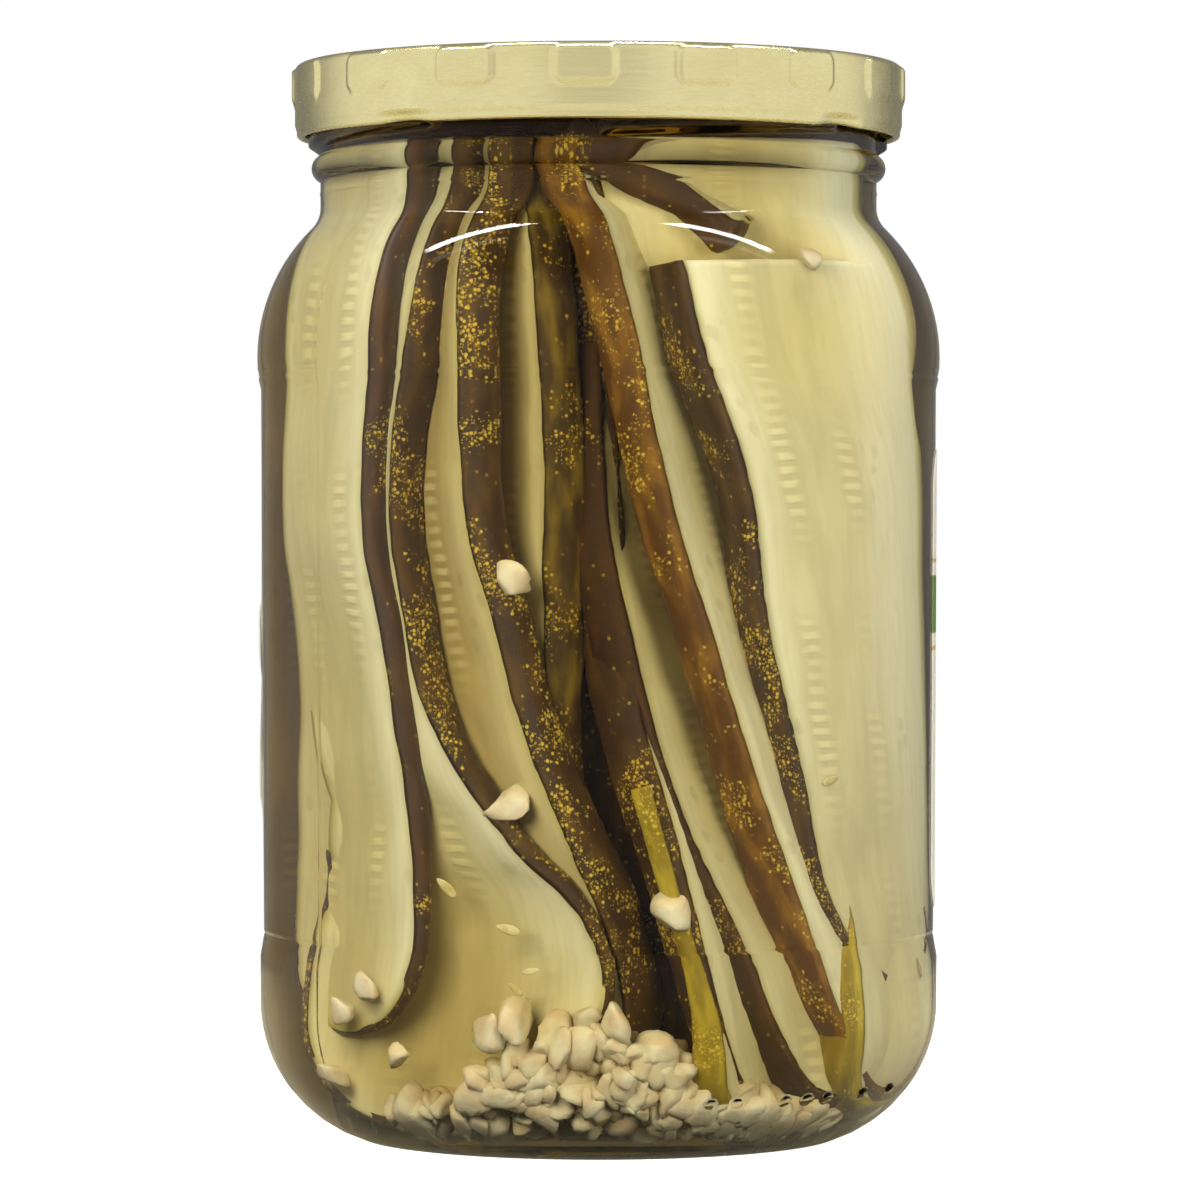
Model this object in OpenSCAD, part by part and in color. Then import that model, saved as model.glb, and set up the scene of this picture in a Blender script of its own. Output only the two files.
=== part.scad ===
// Pickle jar: a round glass jar, filled with brine, under a four-lug metal cap,
// with a paper label round the back of its label panel.
// The foot ring stands on z = 0, the axis is Z and the front faces -Y.

/* [Jar body] */
// Widest diameter, at the contact ring under the shoulder
body_d = 91; // [80:0.5:110]
// Height of the glass, from foot ring to rim
jar_h = 142; // [118:0.5:171]
// Wall thickness of the body
wall = 2.3; // [1.8:0.1:3]
// Thickness of the clear glass under the contents
base_t = 4.2; // [3.4:0.1:5.2]
// Rise of the underside inside the foot ring
push_up = 1.4; // [0.8:0.1:2]
// Width of the flat foot ring
foot_w = 2.5; // [1.5:0.1:4]
// How far the foot ring lies inside the heel ring
foot_inset = 13.1; // [10:0.1:16]

/* [Heel and label panel] */
// How far the heel ring lies inside the widest diameter
heel_ring_inset = 0.4; // [0:0.1:1]
// Radius of the rounded heel outside
heel_r = 18.9; // [16:0.1:23]
// Radius of the rounded heel inside
heel_in_r = 13; // [10:0.5:16]
// Height of the heel ring's straight band
heel_ring_h = 6; // [3:0.5:8]
// How far the label panel is set in at its lower edge
panel_in_low = 0.9; // [0.5:0.05:1.4]
// How far the label panel is set in at its upper edge
panel_in_high = 0.5; // [0.3:0.05:1]
// Height of the sloping step between a ring and the panel
step_h = 1.4; // [0.8:0.1:2.5]
// Height of the contact ring above the panel
contact_h = 2.8; // [1.5:0.1:5]

/* [Shoulder and neck] */
// Radius of the shoulder
shoulder_r = 24; // [20:0.5:29]
// Radius of the hollow between shoulder and neck
neck_fillet = 4; // [3:0.5:6]
// Height from the start of the neck to the rim
neck_h = 18.5; // [16:0.5:22]
// Diameter of the neck
neck_d = 74.2; // [70:0.1:80]
// Glass thickness in the neck
neck_wall = 2.9; // [2.2:0.1:3.5]

/* [Finish] */
// How far the transfer bead stands out of the neck
bead_out = 1.2; // [0.8:0.1:1.5]
// Radius of the bead's round section
bead_r = 1.85; // [1.5:0.05:2.2]
// Height of the bead's middle below the rim
bead_drop = 13.3; // [12:0.1:14.5]
// How far the thread stands out of the neck
thread_out = 1.6; // [1.2:0.1:1.8]
// Height of the thread's ridge where it leaves the neck
thread_foot_h = 3.8; // [3:0.1:4.4]
// Height of the thread's flat crest
thread_crest_h = 1; // [0.6:0.1:1.4]
// Number of threads, each with its own lug
thread_count = 4; // [3:1:6]
// Angle that one thread runs round the neck
thread_sweep = 56; // [40:1:70]
// Height that the thread climbs in one full turn
thread_lead = 12; // [8:0.5:16]
// Height of the thread's middle below the rim
thread_drop = 9; // [8:0.1:9.6]
// Azimuth of the first thread's middle
thread_turn = -152; // [-180:1:180]
// Radius of the rounding on the rim's edges
rim_round = 0.8; // [0.4:0.1:1]

/* [Cap] */
// Clearance between the cap's rolled edge and the crest of the thread
cap_gap = 0.45; // [0.3:0.05:0.8]
// Height of the cap
cap_h = 9.8; // [8.5:0.1:12]
// Sheet thickness, with its lacquer and sealing lining
sheet_t = 0.5; // [0.4:0.05:0.8]
// Radius of the rounded top edge
cap_round = 0.9; // [0.6:0.1:1.5]
// Radius of the rolled lower edge
curl_r = 0.55; // [0.45:0.05:0.7]
// How far the skirt draws in at the rolled edge
curl_in = 0.25; // [0:0.05:0.5]
// Clearance between the sunk middle panel and the bore of the neck
cap_panel_gap = 3.2; // [2:0.1:8]
// Depth of the sunk middle panel
cap_panel_sink = 0.8; // [0.4:0.1:1.2]
// Diameter of the raised button in the middle
button_d = 24; // [18:1:30]
// Number of raised grip pads round the skirt
pad_count = 16; // [12:1:24]
// Angle that one grip pad covers
pad_angle = 11.5; // [6:0.5:14]
// How far the grip pads stand out
pad_out = 0.3; // [0.2:0.05:0.5]
// Height of the grip pads' lower end above the rolled edge
pad_lift = 4; // [3:0.1:5.5]
// Azimuth of the middle of one grip pad
pad_turn = -92.5; // [-180:0.5:180]
// Azimuth of the middle of the first lug
lug_turn = -128.6; // [-180:0.1:180]
// Angle that one lug covers
lug_angle = 12; // [6:0.5:16]
// Height of a lug
lug_h = 1.2; // [0.8:0.1:1.6]
// Clearance between a lug and the crest of the thread
lug_gap = 0.25; // [0.15:0.05:0.4]
// Depth of the dent that presses each lug inwards
dent_depth = 0.3; // [0.15:0.05:0.35]
// Radius of the dent
dent_r = 5; // [3:0.5:8]

/* [Contents] */
// Height of the brine's surface below the rim
headspace = 3.6; // [2:0.1:3.9]
// Clearance between the brine and the glass
brine_gap = 0.1; // [0.05:0.05:0.3]

/* [Label] */
// Height of the label's lower edge above the panel's lower edge
label_lift = 3.7; // [1:0.1:8]
// How far the label's upper edge lies below the panel's upper edge
label_drop = 8; // [1:0.1:16]
// Angle that the label covers
label_sweep = 190; // [90:1:300]
// Azimuth of the label's right-hand edge
label_turn = -11; // [-180:1:180]
// Thickness of the paper
label_t = 0.15; // [0.1:0.05:0.3]
// Clearance between the paper and the glass
label_gap = 0.05; // [0.02:0.01:0.1]
// Radius of the label's corners
label_round = 6; // [2:0.5:10]

/* [Hidden] */
$fn = 96;
arc_steps = 10;
// A cutter runs this far past the face that it cuts.
overlap = 0.2;
// The label's round corner cutter sits this far out, so that it crosses the label's edges.
corner_ease = 0.1;

body_r = body_d / 2;
neck_r = neck_d / 2;

// Heel: the arc runs from the foot ring up to the heel ring.
heel_ring_r = body_r - heel_ring_inset;
foot_r = heel_ring_r - foot_inset;
heel_cx = heel_ring_r - heel_r;
heel_cz = sqrt(pow(heel_r, 2) - pow(foot_r - heel_cx, 2));
heel_foot_angle = -atan2(heel_cz, foot_r - heel_cx);

// Shoulder: its arc meets the hollow above it without a kink.
shoulder_cx = body_r - shoulder_r;
neck_z = jar_h - neck_h;
shoulder_cz = neck_z - blend_rise(shoulder_cx, shoulder_r, neck_r, neck_fillet);

// Label panel, a shallow cone between the heel ring and the contact ring.
ring_top_z = heel_cz + heel_ring_h;
panel_z0 = ring_top_z + step_h + step_h;
panel_z1 = shoulder_cz - contact_h - step_h;
panel_r0 = body_r - panel_in_low;
panel_r1 = body_r - panel_in_high;

// Inside of the glass.
cavity_r = panel_r0 - wall;
bore_r = neck_r - neck_wall;
shoulder_in_r = cavity_r - shoulder_cx;
bore_fillet = neck_fillet + neck_wall / 2;

// Cap: it rests on the rim, and its skirt hangs down outside the thread.
thread_crest_r = neck_r + thread_out;
cap_r = thread_crest_r + cap_gap + 2 * curl_r + curl_in;
cap_top_z = jar_h + sheet_t;
cap_edge_z = cap_top_z - cap_h;
curl_cx = cap_r - curl_in - curl_r;
curl_cz = cap_edge_z + curl_r;
cap_panel_r = bore_r - cap_panel_gap;

// Height between the centre of a convex arc and the centre of the hollow arc
// that joins it to an upright wall of radius wall_r.
function blend_rise(cx, r, wall_r, fillet) =
    sqrt(pow(r + fillet, 2) - pow(wall_r + fillet - cx, 2));

// Points of an arc from angle a0 to angle a1 about (cx, cz).
function arc(cx, cz, r, a0, a1, steps = arc_steps) =
    [for (i = [0:steps]) let (a = a0 + (a1 - a0) * i / steps) [cx + r * cos(a), cz + r * sin(a)]];

// Shoulder arc and the hollow above it, from the body wall to the neck wall.
function shoulder_line(r, wall_r, fillet) =
    let (
        rise = blend_rise(shoulder_cx, r, wall_r, fillet),
        meet = atan2(rise, wall_r + fillet - shoulder_cx)
    )
    concat(
        arc(shoulder_cx, shoulder_cz, r, 0, meet),
        arc(wall_r + fillet, shoulder_cz + rise, fillet, meet + 180, 180, arc_steps / 2)
    );

// Bulge of a round section of radius r whose crest is at crest_r, standing on a wall.
function bulge(crest_r, r, wall_r, z) =
    let (half = acos((wall_r - crest_r + r) / r))
    arc(crest_r - r, z, r, -half, half, arc_steps);

// Radius of the label panel at a height.
function panel_at(z) =
    panel_r0 + (panel_r1 - panel_r0) * (z - panel_z0) / (panel_z1 - panel_z0);

// Outside of the glass, from the underside's middle to the rim's outer edge.
function outside_line() = concat(
    [[0, push_up], [foot_r - foot_w - 2 * push_up, push_up], [foot_r - foot_w, 0]],
    arc(heel_cx, heel_cz, heel_r, heel_foot_angle, 0),
    [[heel_ring_r, ring_top_z], [(heel_ring_r + panel_r0) / 2, ring_top_z + step_h]],
    [[panel_r0, panel_z0], [panel_r1, panel_z1], [body_r - panel_in_high / 3, panel_z1 + step_h]],
    shoulder_line(shoulder_r, neck_r, neck_fillet),
    bulge(neck_r + bead_out, bead_r, neck_r, jar_h - bead_drop),
    arc(neck_r - rim_round, jar_h - rim_round, rim_round, 0, 90, arc_steps / 2)
);

// Inside of the glass from the bore down to the floor, drawn in by a clearance.
function inside_line(top_z, gap) = concat(
    [[0, base_t + gap]],
    arc(cavity_r - heel_in_r, base_t + heel_in_r, heel_in_r - gap, -90, 0),
    shoulder_line(shoulder_in_r - gap, bore_r - gap, bore_fillet + gap),
    [[bore_r - gap, top_z], [0, top_z]]
);

// One right-hand thread, centred on +X: a tilted ring segment whose flanks start inside the wall.
module thread() {
    tilt = asin(thread_lead / (2 * PI * neck_r));
    root_r = neck_r - neck_wall / 2;
    flank = (thread_foot_h - thread_crest_h) / 2 / thread_out;
    root_h = thread_foot_h + neck_wall * flank;
    rotate([tilt, 0, 0]) rotate([0, 0, -thread_sweep / 2]) rotate_extrude(angle = thread_sweep)
        polygon([
            [root_r, -root_h / 2], [thread_crest_r, -thread_crest_h / 2],
            [thread_crest_r, thread_crest_h / 2], [root_r, root_h / 2]
        ]);
}

// The glass jar.
module jar() {
    color([0.86, 0.88, 0.80, 0.45])
    difference() {
        union() {
            rotate_extrude() polygon(concat(outside_line(), [[0, jar_h]]));
            for (i = [0:thread_count - 1])
                rotate([0, 0, thread_turn + i * 360 / thread_count])
                    translate([0, 0, jar_h - thread_drop]) thread();
        }
        rotate_extrude() polygon(inside_line(jar_h + overlap, 0));
    }
}

// Cross-section of the cap's drawn sheet, from the middle out to the rolled edge.
module cap_section() {
    sunk = cap_top_z - cap_panel_sink;
    under = jar_h - cap_panel_sink;
    slope = cap_panel_r + cap_panel_sink;
    skirt_in = cap_r - sheet_t;
    polygon(concat(
        [[0, sunk + cap_panel_sink / 2], [button_d / 2, sunk + cap_panel_sink / 2]],
        [[button_d / 2 + cap_panel_sink, sunk], [cap_panel_r, sunk], [slope, cap_top_z]],
        arc(cap_r - cap_round, cap_top_z - cap_round, cap_round, 90, 0, arc_steps / 2),
        [[cap_r, curl_cz + 2 * curl_r], [curl_cx + curl_r, curl_cz]],
        [[curl_cx, curl_cz], [skirt_in, curl_cz + 2 * curl_r]],
        arc(cap_r - cap_round, cap_top_z - cap_round, cap_round - sheet_t, 0, 90, arc_steps / 2),
        [[slope - sheet_t / 2, jar_h], [cap_panel_r - sheet_t / 2, under], [0, under]]
    ));
    translate([curl_cx, curl_cz]) circle(curl_r);
}

// One raised grip pad, centred on +X.
module grip_pad() {
    low = cap_edge_z + pad_lift;
    high = cap_top_z - cap_round;
    face = cap_r + pad_out;
    rotate([0, 0, -pad_angle / 2]) rotate_extrude(angle = pad_angle) polygon([
        [cap_r - overlap, low - overlap], [face, low + pad_out],
        [face, high - pad_out], [cap_r - overlap, high + overlap]
    ]);
}

// One lug, centred on +X: the rolled edge pressed in towards the thread.
module lug() {
    rotate([0, 0, -lug_angle / 2]) rotate_extrude(angle = lug_angle)
        translate([thread_crest_r + lug_gap, cap_edge_z + curl_r / 4])
            square([cap_r - sheet_t - thread_crest_r - lug_gap + overlap / 2, lug_h]);
}

// The metal cap, shut.
module cap() {
    color([0.84, 0.80, 0.55]) {
        difference() {
            union() {
                rotate_extrude() cap_section();
                for (i = [0:pad_count - 1])
                    rotate([0, 0, pad_turn + i * 360 / pad_count]) grip_pad();
            }
            for (i = [0:thread_count - 1])
                rotate([0, 0, lug_turn + i * 360 / thread_count])
                    translate([cap_r + dent_r - dent_depth, 0, cap_edge_z]) sphere(dent_r);
        }
        for (i = [0:thread_count - 1])
            rotate([0, 0, lug_turn + i * 360 / thread_count]) lug();
    }
}

// The brine, a solid up to its surface.
module brine() {
    color([0.72, 0.67, 0.40, 0.8])
        rotate_extrude() polygon(inside_line(jar_h - headspace, brine_gap));
}

// Waste at a sharp corner of the label, as a block that a round cutter has hollowed out.
// It stands at the origin with the corner towards +Y and +Z, and runs along X.
module corner_waste() {
    depth = panel_r1 + 2 * label_t;
    round_c = corner_ease - label_round;
    difference() {
        translate([0, -label_round, -label_round])
            cube([depth, label_round + overlap, label_round + overlap]);
        translate([-overlap, round_c, round_c]) rotate([0, 90, 0])
            cylinder(r = label_round, h = depth + 2 * overlap);
    }
}

// The paper label, wrapped round the back of the panel.
module label() {
    z0 = panel_z0 + label_lift;
    z1 = panel_z1 - label_drop;
    in0 = panel_at(z0) + label_gap;
    in1 = panel_at(z1) + label_gap;
    color([0.93, 0.92, 0.86])
    difference() {
        rotate([0, 0, label_turn]) rotate_extrude(angle = label_sweep)
            polygon([[in0, z0], [in0 + label_t, z0], [in1 + label_t, z1], [in1, z1]]);
        rotate([0, 0, label_turn + label_sweep]) translate([0, 0, z1]) corner_waste();
        rotate([0, 0, label_turn + label_sweep]) translate([0, 0, z0]) mirror([0, 0, 1]) corner_waste();
        rotate([0, 0, label_turn]) translate([0, 0, z1]) mirror([0, 1, 0]) corner_waste();
        rotate([0, 0, label_turn]) translate([0, 0, z0]) mirror([0, 0, 1]) mirror([0, 1, 0]) corner_waste();
    }
}

jar();
cap();
brine();
label();
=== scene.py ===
"""Looks of a glass jar of long cucumber slices in brine, under a gold metal cap.

The classes hold their sizes in millimetres; a mesh is turned into metres when it is made.
Azimuths are degrees round the jar's axis from the front, and grow to the right.
"""

import logging
from dataclasses import dataclass
from enum import Enum
from typing import Sequence, Union

import bpy
import numpy as np
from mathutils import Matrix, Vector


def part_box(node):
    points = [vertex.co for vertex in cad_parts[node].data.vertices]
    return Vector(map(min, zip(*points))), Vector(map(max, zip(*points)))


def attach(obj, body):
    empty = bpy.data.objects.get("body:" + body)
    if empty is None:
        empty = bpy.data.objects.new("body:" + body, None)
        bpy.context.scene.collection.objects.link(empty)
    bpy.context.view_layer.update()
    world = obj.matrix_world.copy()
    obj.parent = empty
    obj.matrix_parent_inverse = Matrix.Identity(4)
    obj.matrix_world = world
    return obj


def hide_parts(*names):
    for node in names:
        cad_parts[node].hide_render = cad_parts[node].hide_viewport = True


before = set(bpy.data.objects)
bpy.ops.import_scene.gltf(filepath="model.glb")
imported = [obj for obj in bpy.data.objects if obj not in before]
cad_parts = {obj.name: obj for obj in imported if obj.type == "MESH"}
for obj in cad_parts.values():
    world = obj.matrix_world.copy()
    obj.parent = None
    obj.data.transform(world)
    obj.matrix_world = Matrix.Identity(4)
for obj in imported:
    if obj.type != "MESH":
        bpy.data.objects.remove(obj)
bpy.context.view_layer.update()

MM = 0.001
FRONT = -90.0  # direction of azimuth 0, in degrees from +X
TURN = 360.0
AXIS_GAP = 0.3  # radius at which an outline stops before the axis
TINY = 1e-9
WAVE_COUNT = 6
WHITE = (1.0, 1.0, 1.0)
GLASS_TINT = (0.985, 0.992, 0.975)
GLASS_BENDING = 1.50
DRY_GLOSS = (0.2, 0.2, 0.2)
WET_GLOSS = (0.04, 0.04, 0.04)
BRINE_TINT = (0.985, 0.97, 0.87)
BRINE_DEPTH = (0.70, 0.555, 0.06)
BRINE_DENSITY = 64.0
BRINE_BENDING = 1.34
LOG = logging.getLogger("pickle_jar")

Colour = tuple[float, float, float]
Span = tuple[float, float]  # where a ramp is 0 and where it is 1
Number = Union[float, "Value"]
Socket = bpy.types.NodeSocket


# ---------------------------------------------------------------- numbers and outlines


def paint(red: int, green: int, blue: int) -> Colour:
    """Turns a colour as a screen shows it, 0 to 255, into linear light.

    Args:
        red: share of red.
        green: share of green.
        blue: share of blue.

    Returns:
        The three shares of linear light, 0 to 1.
    """
    shares = np.array([red, green, blue]) / 255
    light = np.where(shares <= 0.04045, shares / 12.92, ((shares + 0.055) / 1.055) ** 2.4)
    return tuple(float(share) for share in light)


def shaded(colour: Colour, share: float) -> Colour:
    """A share of a colour's light."""
    return tuple(part * share for part in colour)


def smooth(value: np.ndarray, low: float, high: float) -> np.ndarray:
    """Rises from 0 at low to 1 at high along t * t * (3 - 2 * t).

    Args:
        value: where to read the curve.
        low: end of the 0 side.
        high: start of the 1 side.

    Returns:
        The curve's heights.
    """
    t = np.clip((value - low) / (high - low), 0, 1)
    return t * t * (3 - 2 * t)


def turned(angle: np.ndarray, middle: float) -> np.ndarray:
    """Angle from a middle, brought between -180 and 180 degrees."""
    return (angle - middle + TURN / 2) % TURN - TURN / 2


def step_lengths(points: np.ndarray) -> np.ndarray:
    """Length of each step from point to point."""
    return np.linalg.norm(np.diff(points, axis=0), axis=1)


def run_along(points: np.ndarray) -> np.ndarray:
    """Distance travelled at each point of a path, as a column."""
    return np.concatenate([[0], np.cumsum(step_lengths(points))])[:, None]


def ring_point(radius: float, azimuth: float, z: float) -> tuple[float, float, float]:
    """A place at a radius, an azimuth and a height: x = r cos a, y = r sin a."""
    a = np.radians(azimuth + FRONT)
    return radius * np.cos(a), radius * np.sin(a), z


def unit(vectors: np.ndarray) -> np.ndarray:
    """Vectors of length 1 in the same directions."""
    return vectors / np.maximum(np.linalg.norm(vectors, axis=-1, keepdims=True), TINY)


def arc(centre_r: float, centre_z: float, radius: float, start: float, end: float, count: int) -> np.ndarray:
    """Points of an arc in the plane of radius and height.

    Args:
        centre_r: the centre's distance from the axis.
        centre_z: the centre's height.
        radius: radius of the arc.
        start: first angle, in degrees from outward.
        end: last angle.
        count: number of points.

    Returns:
        An array of count x 2: distance from the axis, height.
    """
    angle = np.radians(np.linspace(start, end, count))
    return np.stack([centre_r + radius * np.cos(angle), centre_z + radius * np.sin(angle)], 1)


def line(start: Sequence[float], end: Sequence[float], count: int) -> np.ndarray:
    """Evenly spaced points from start to end, without the last one."""
    share = np.linspace(0, 1, count, endpoint=False)[:, None]
    return np.asarray(start) * (1 - share) + np.asarray(end) * share


def spline(points: Sequence[Sequence[float]], places: np.ndarray) -> np.ndarray:
    """A smooth curve through points: cubic pieces whose slopes are those of the neighbours' chord.

    Args:
        points: the points that the curve passes.
        places: shares of the way along the points' polyline, 0 to 1.

    Returns:
        One row of coordinates for each place.
    """
    knots = np.asarray(points, float)
    steps = step_lengths(knots)
    way = np.concatenate([[0], np.cumsum(steps)]) / steps.sum()
    slopes = np.gradient(knots, way, axis=0)
    cell = np.clip(np.searchsorted(way, places, side="right") - 1, 0, len(way) - 2)
    width = (way[cell + 1] - way[cell])[:, None]
    t = (places - way[cell])[:, None] / width
    return (
        (2 * t**3 - 3 * t**2 + 1) * knots[cell]
        + (t**3 - 2 * t**2 + t) * width * slopes[cell]
        + (3 * t**2 - 2 * t**3) * knots[cell + 1]
        + (t**3 - t**2) * width * slopes[cell + 1]
    )


def waves(seed: int, wavelength: float, *axes: np.ndarray) -> np.ndarray:
    """Smooth unevenness between about -1 and 1: a sum of sine waves of random direction and phase.

    Args:
        seed: number that fixes the draw.
        wavelength: middle length of the waves, in the axes' unit.
        axes: coordinates of the places, as arrays of one shape.

    Returns:
        The heights at the places.
    """
    draw = np.random.default_rng(seed)
    total = 0.0
    for _ in range(WAVE_COUNT):
        direction = unit(draw.normal(size=len(axes)))
        pitch = wavelength * draw.uniform(0.6, 1.6)
        travel = sum(part * axis for part, axis in zip(direction, axes))
        total = total + np.sin(2 * np.pi * travel / pitch + draw.uniform(0, 2 * np.pi))
    return total / (WAVE_COUNT / 2)


def wavy(size: Span, seed: int, *axes: np.ndarray) -> np.ndarray:
    """Unevenness of a height and a wavelength."""
    return size[0] * waves(seed, size[1], *axes)


# ---------------------------------------------------------------- meshes


class Surface:
    """Gathers closed surfaces, in millimetres, and makes them one mesh, in metres."""

    def __init__(self) -> None:
        """Starts with nothing in it."""
        self.points: list[np.ndarray] = []
        self.faces: list[list[int]] = []
        self.finishes: list[int] = []
        self.lays: list[np.ndarray] = []
        self.count = 0

    def tube(
        self, rings: np.ndarray, finish: Union[int, np.ndarray] = 0, lay: np.ndarray | None = None
    ) -> None:
        """Adds a surface through closed rings, ended by a fan to the mean of the first and the last ring.

        Point (i, j) is ring i's point j, and four neighbours make a face. The sum of the faces' signed
        volumes tells which way they point, and they are turned round if that is inwards.

        Args:
            rings: points, as rings x points x 3.
            finish: number of the finish, for all faces or for each band between two rings.
            lay: a pattern's coordinates at each point, as rings x points x 3.
        """
        rows, columns = rings.shape[:2]
        grid = np.arange(rows * columns).reshape(rows, columns)
        after = np.roll(grid, -1, axis=1)
        quads = np.stack([grid[:-1], after[:-1], after[1:], grid[1:]], -1).reshape(-1, 4)
        first, last = rows * columns, rows * columns + 1
        fans = np.concatenate([
            np.stack([np.full(columns, first), after[0], grid[0]], -1),
            np.stack([np.full(columns, last), grid[-1], after[-1]], -1),
        ])
        cloud = np.concatenate([rings.reshape(-1, 3), [rings[0].mean(0)], [rings[-1].mean(0)]])
        corners = cloud - cloud.mean(0)
        flat = corners[np.concatenate([quads[:, :3], quads[:, [0, 2, 3]], fans])]
        volume = np.einsum("ij,ij->", flat[:, 0], np.cross(flat[:, 1], flat[:, 2]))
        if volume < 0:
            quads, fans = quads[:, ::-1], fans[:, ::-1]
        bands = np.broadcast_to(finish, (rows - 1,))
        self.points.append(cloud)
        self.faces += (quads + self.count).tolist() + (fans + self.count).tolist()
        self.finishes += np.repeat([*bands, bands[0], bands[-1]], columns).tolist()
        if lay is not None:
            self.lays.append(np.concatenate([lay.reshape(-1, 3), [lay[0].mean(0)], [lay[-1].mean(0)]]))
        self.count += len(cloud)

    def piece(self, name: str, slot: str, finishes: Sequence[bpy.types.Material], *replaced: str) -> None:
        """Makes the mesh and hangs it on the frame, at the origin, with its place in its mesh.

        Args:
            name: name of the piece.
            slot: material slot of the record that it stands for; not used.
            finishes: its materials, in the order of the finish numbers.
            replaced: CAD nodes that it replaces.
        """
        mesh = bpy.data.meshes.new(name)
        mesh.from_pydata((np.concatenate(self.points) * MM).tolist(), [], self.faces)
        for finish in finishes:
            mesh.materials.append(finish)
        mesh.polygons.foreach_set("material_index", self.finishes)
        mesh.polygons.foreach_set("use_smooth", [True] * len(self.faces))
        if self.lays:
            attribute = mesh.attributes.new("lay", "FLOAT_VECTOR", "POINT")
            attribute.data.foreach_set("vector", np.concatenate(self.lays).astype(np.float32).ravel())
        mesh.update()
        thing = bpy.data.objects.new(name, mesh)
        bpy.context.scene.collection.objects.link(thing)
        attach(thing, "root")
        if replaced:
            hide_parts(*replaced)
        LOG.info("%s: %d points, %d faces", name, self.count, len(self.faces))


def revolve(outline: np.ndarray, angles: np.ndarray) -> np.ndarray:
    """Turns an outline round the jar's axis: x = r cos a, y = r sin a, z = z.

    Args:
        outline: points of radius and height, as n x 2, or n x columns x 2 where they differ round the axis.
        angles: directions in degrees, one for each column.

    Returns:
        Points as n x columns x 3.
    """
    a = np.radians(angles)
    shape = outline if outline.ndim == 3 else np.repeat(outline[:, None], len(angles), 1)
    return np.stack([shape[..., 0] * np.cos(a), shape[..., 0] * np.sin(a), shape[..., 1]], -1)


# ---------------------------------------------------------------- shader maths


class Value:
    """A number that varies over a surface; arithmetic on it adds Math nodes."""

    def __init__(self, shader: "Shader", socket: Socket) -> None:
        """Wraps an output socket."""
        self.shader = shader
        self.socket = socket

    def maths(self, operation: str, *operands: Number) -> "Value":
        """One Math node on the given operands."""
        made = self.shader.node("ShaderNodeMath", {"operation": operation}, dict(enumerate(operands)))
        return Value(self.shader, made.outputs[0])

    def __add__(self, other: Number) -> "Value":
        """self + other."""
        return self.maths("ADD", self, other)

    def __sub__(self, other: Number) -> "Value":
        """self - other."""
        return self.maths("SUBTRACT", self, other)

    def __rsub__(self, other: Number) -> "Value":
        """other - self."""
        return self.maths("SUBTRACT", other, self)

    def __mul__(self, other: Number) -> "Value":
        """self * other."""
        return self.maths("MULTIPLY", self, other)

    def __abs__(self) -> "Value":
        """Size without sign."""
        return self.maths("ABSOLUTE", self)

    __radd__ = __add__
    __rmul__ = __mul__

    def wave(self) -> "Value":
        """Sine of self, in radians."""
        return self.maths("SINE", self)

    def over(self, other: Number) -> "Value":
        """The larger of self and other."""
        return self.maths("MAXIMUM", self, other)

    def ramp(self, low: float, high: float) -> "Value":
        """Smooth step from 0 at low to 1 at high, or down again where low is the larger."""
        inputs = {"Value": self, "From Min": low, "From Max": high}
        made = self.shader.node("ShaderNodeMapRange", {"interpolation_type": "SMOOTHSTEP"}, inputs)
        return Value(self.shader, made.outputs[0])


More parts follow.
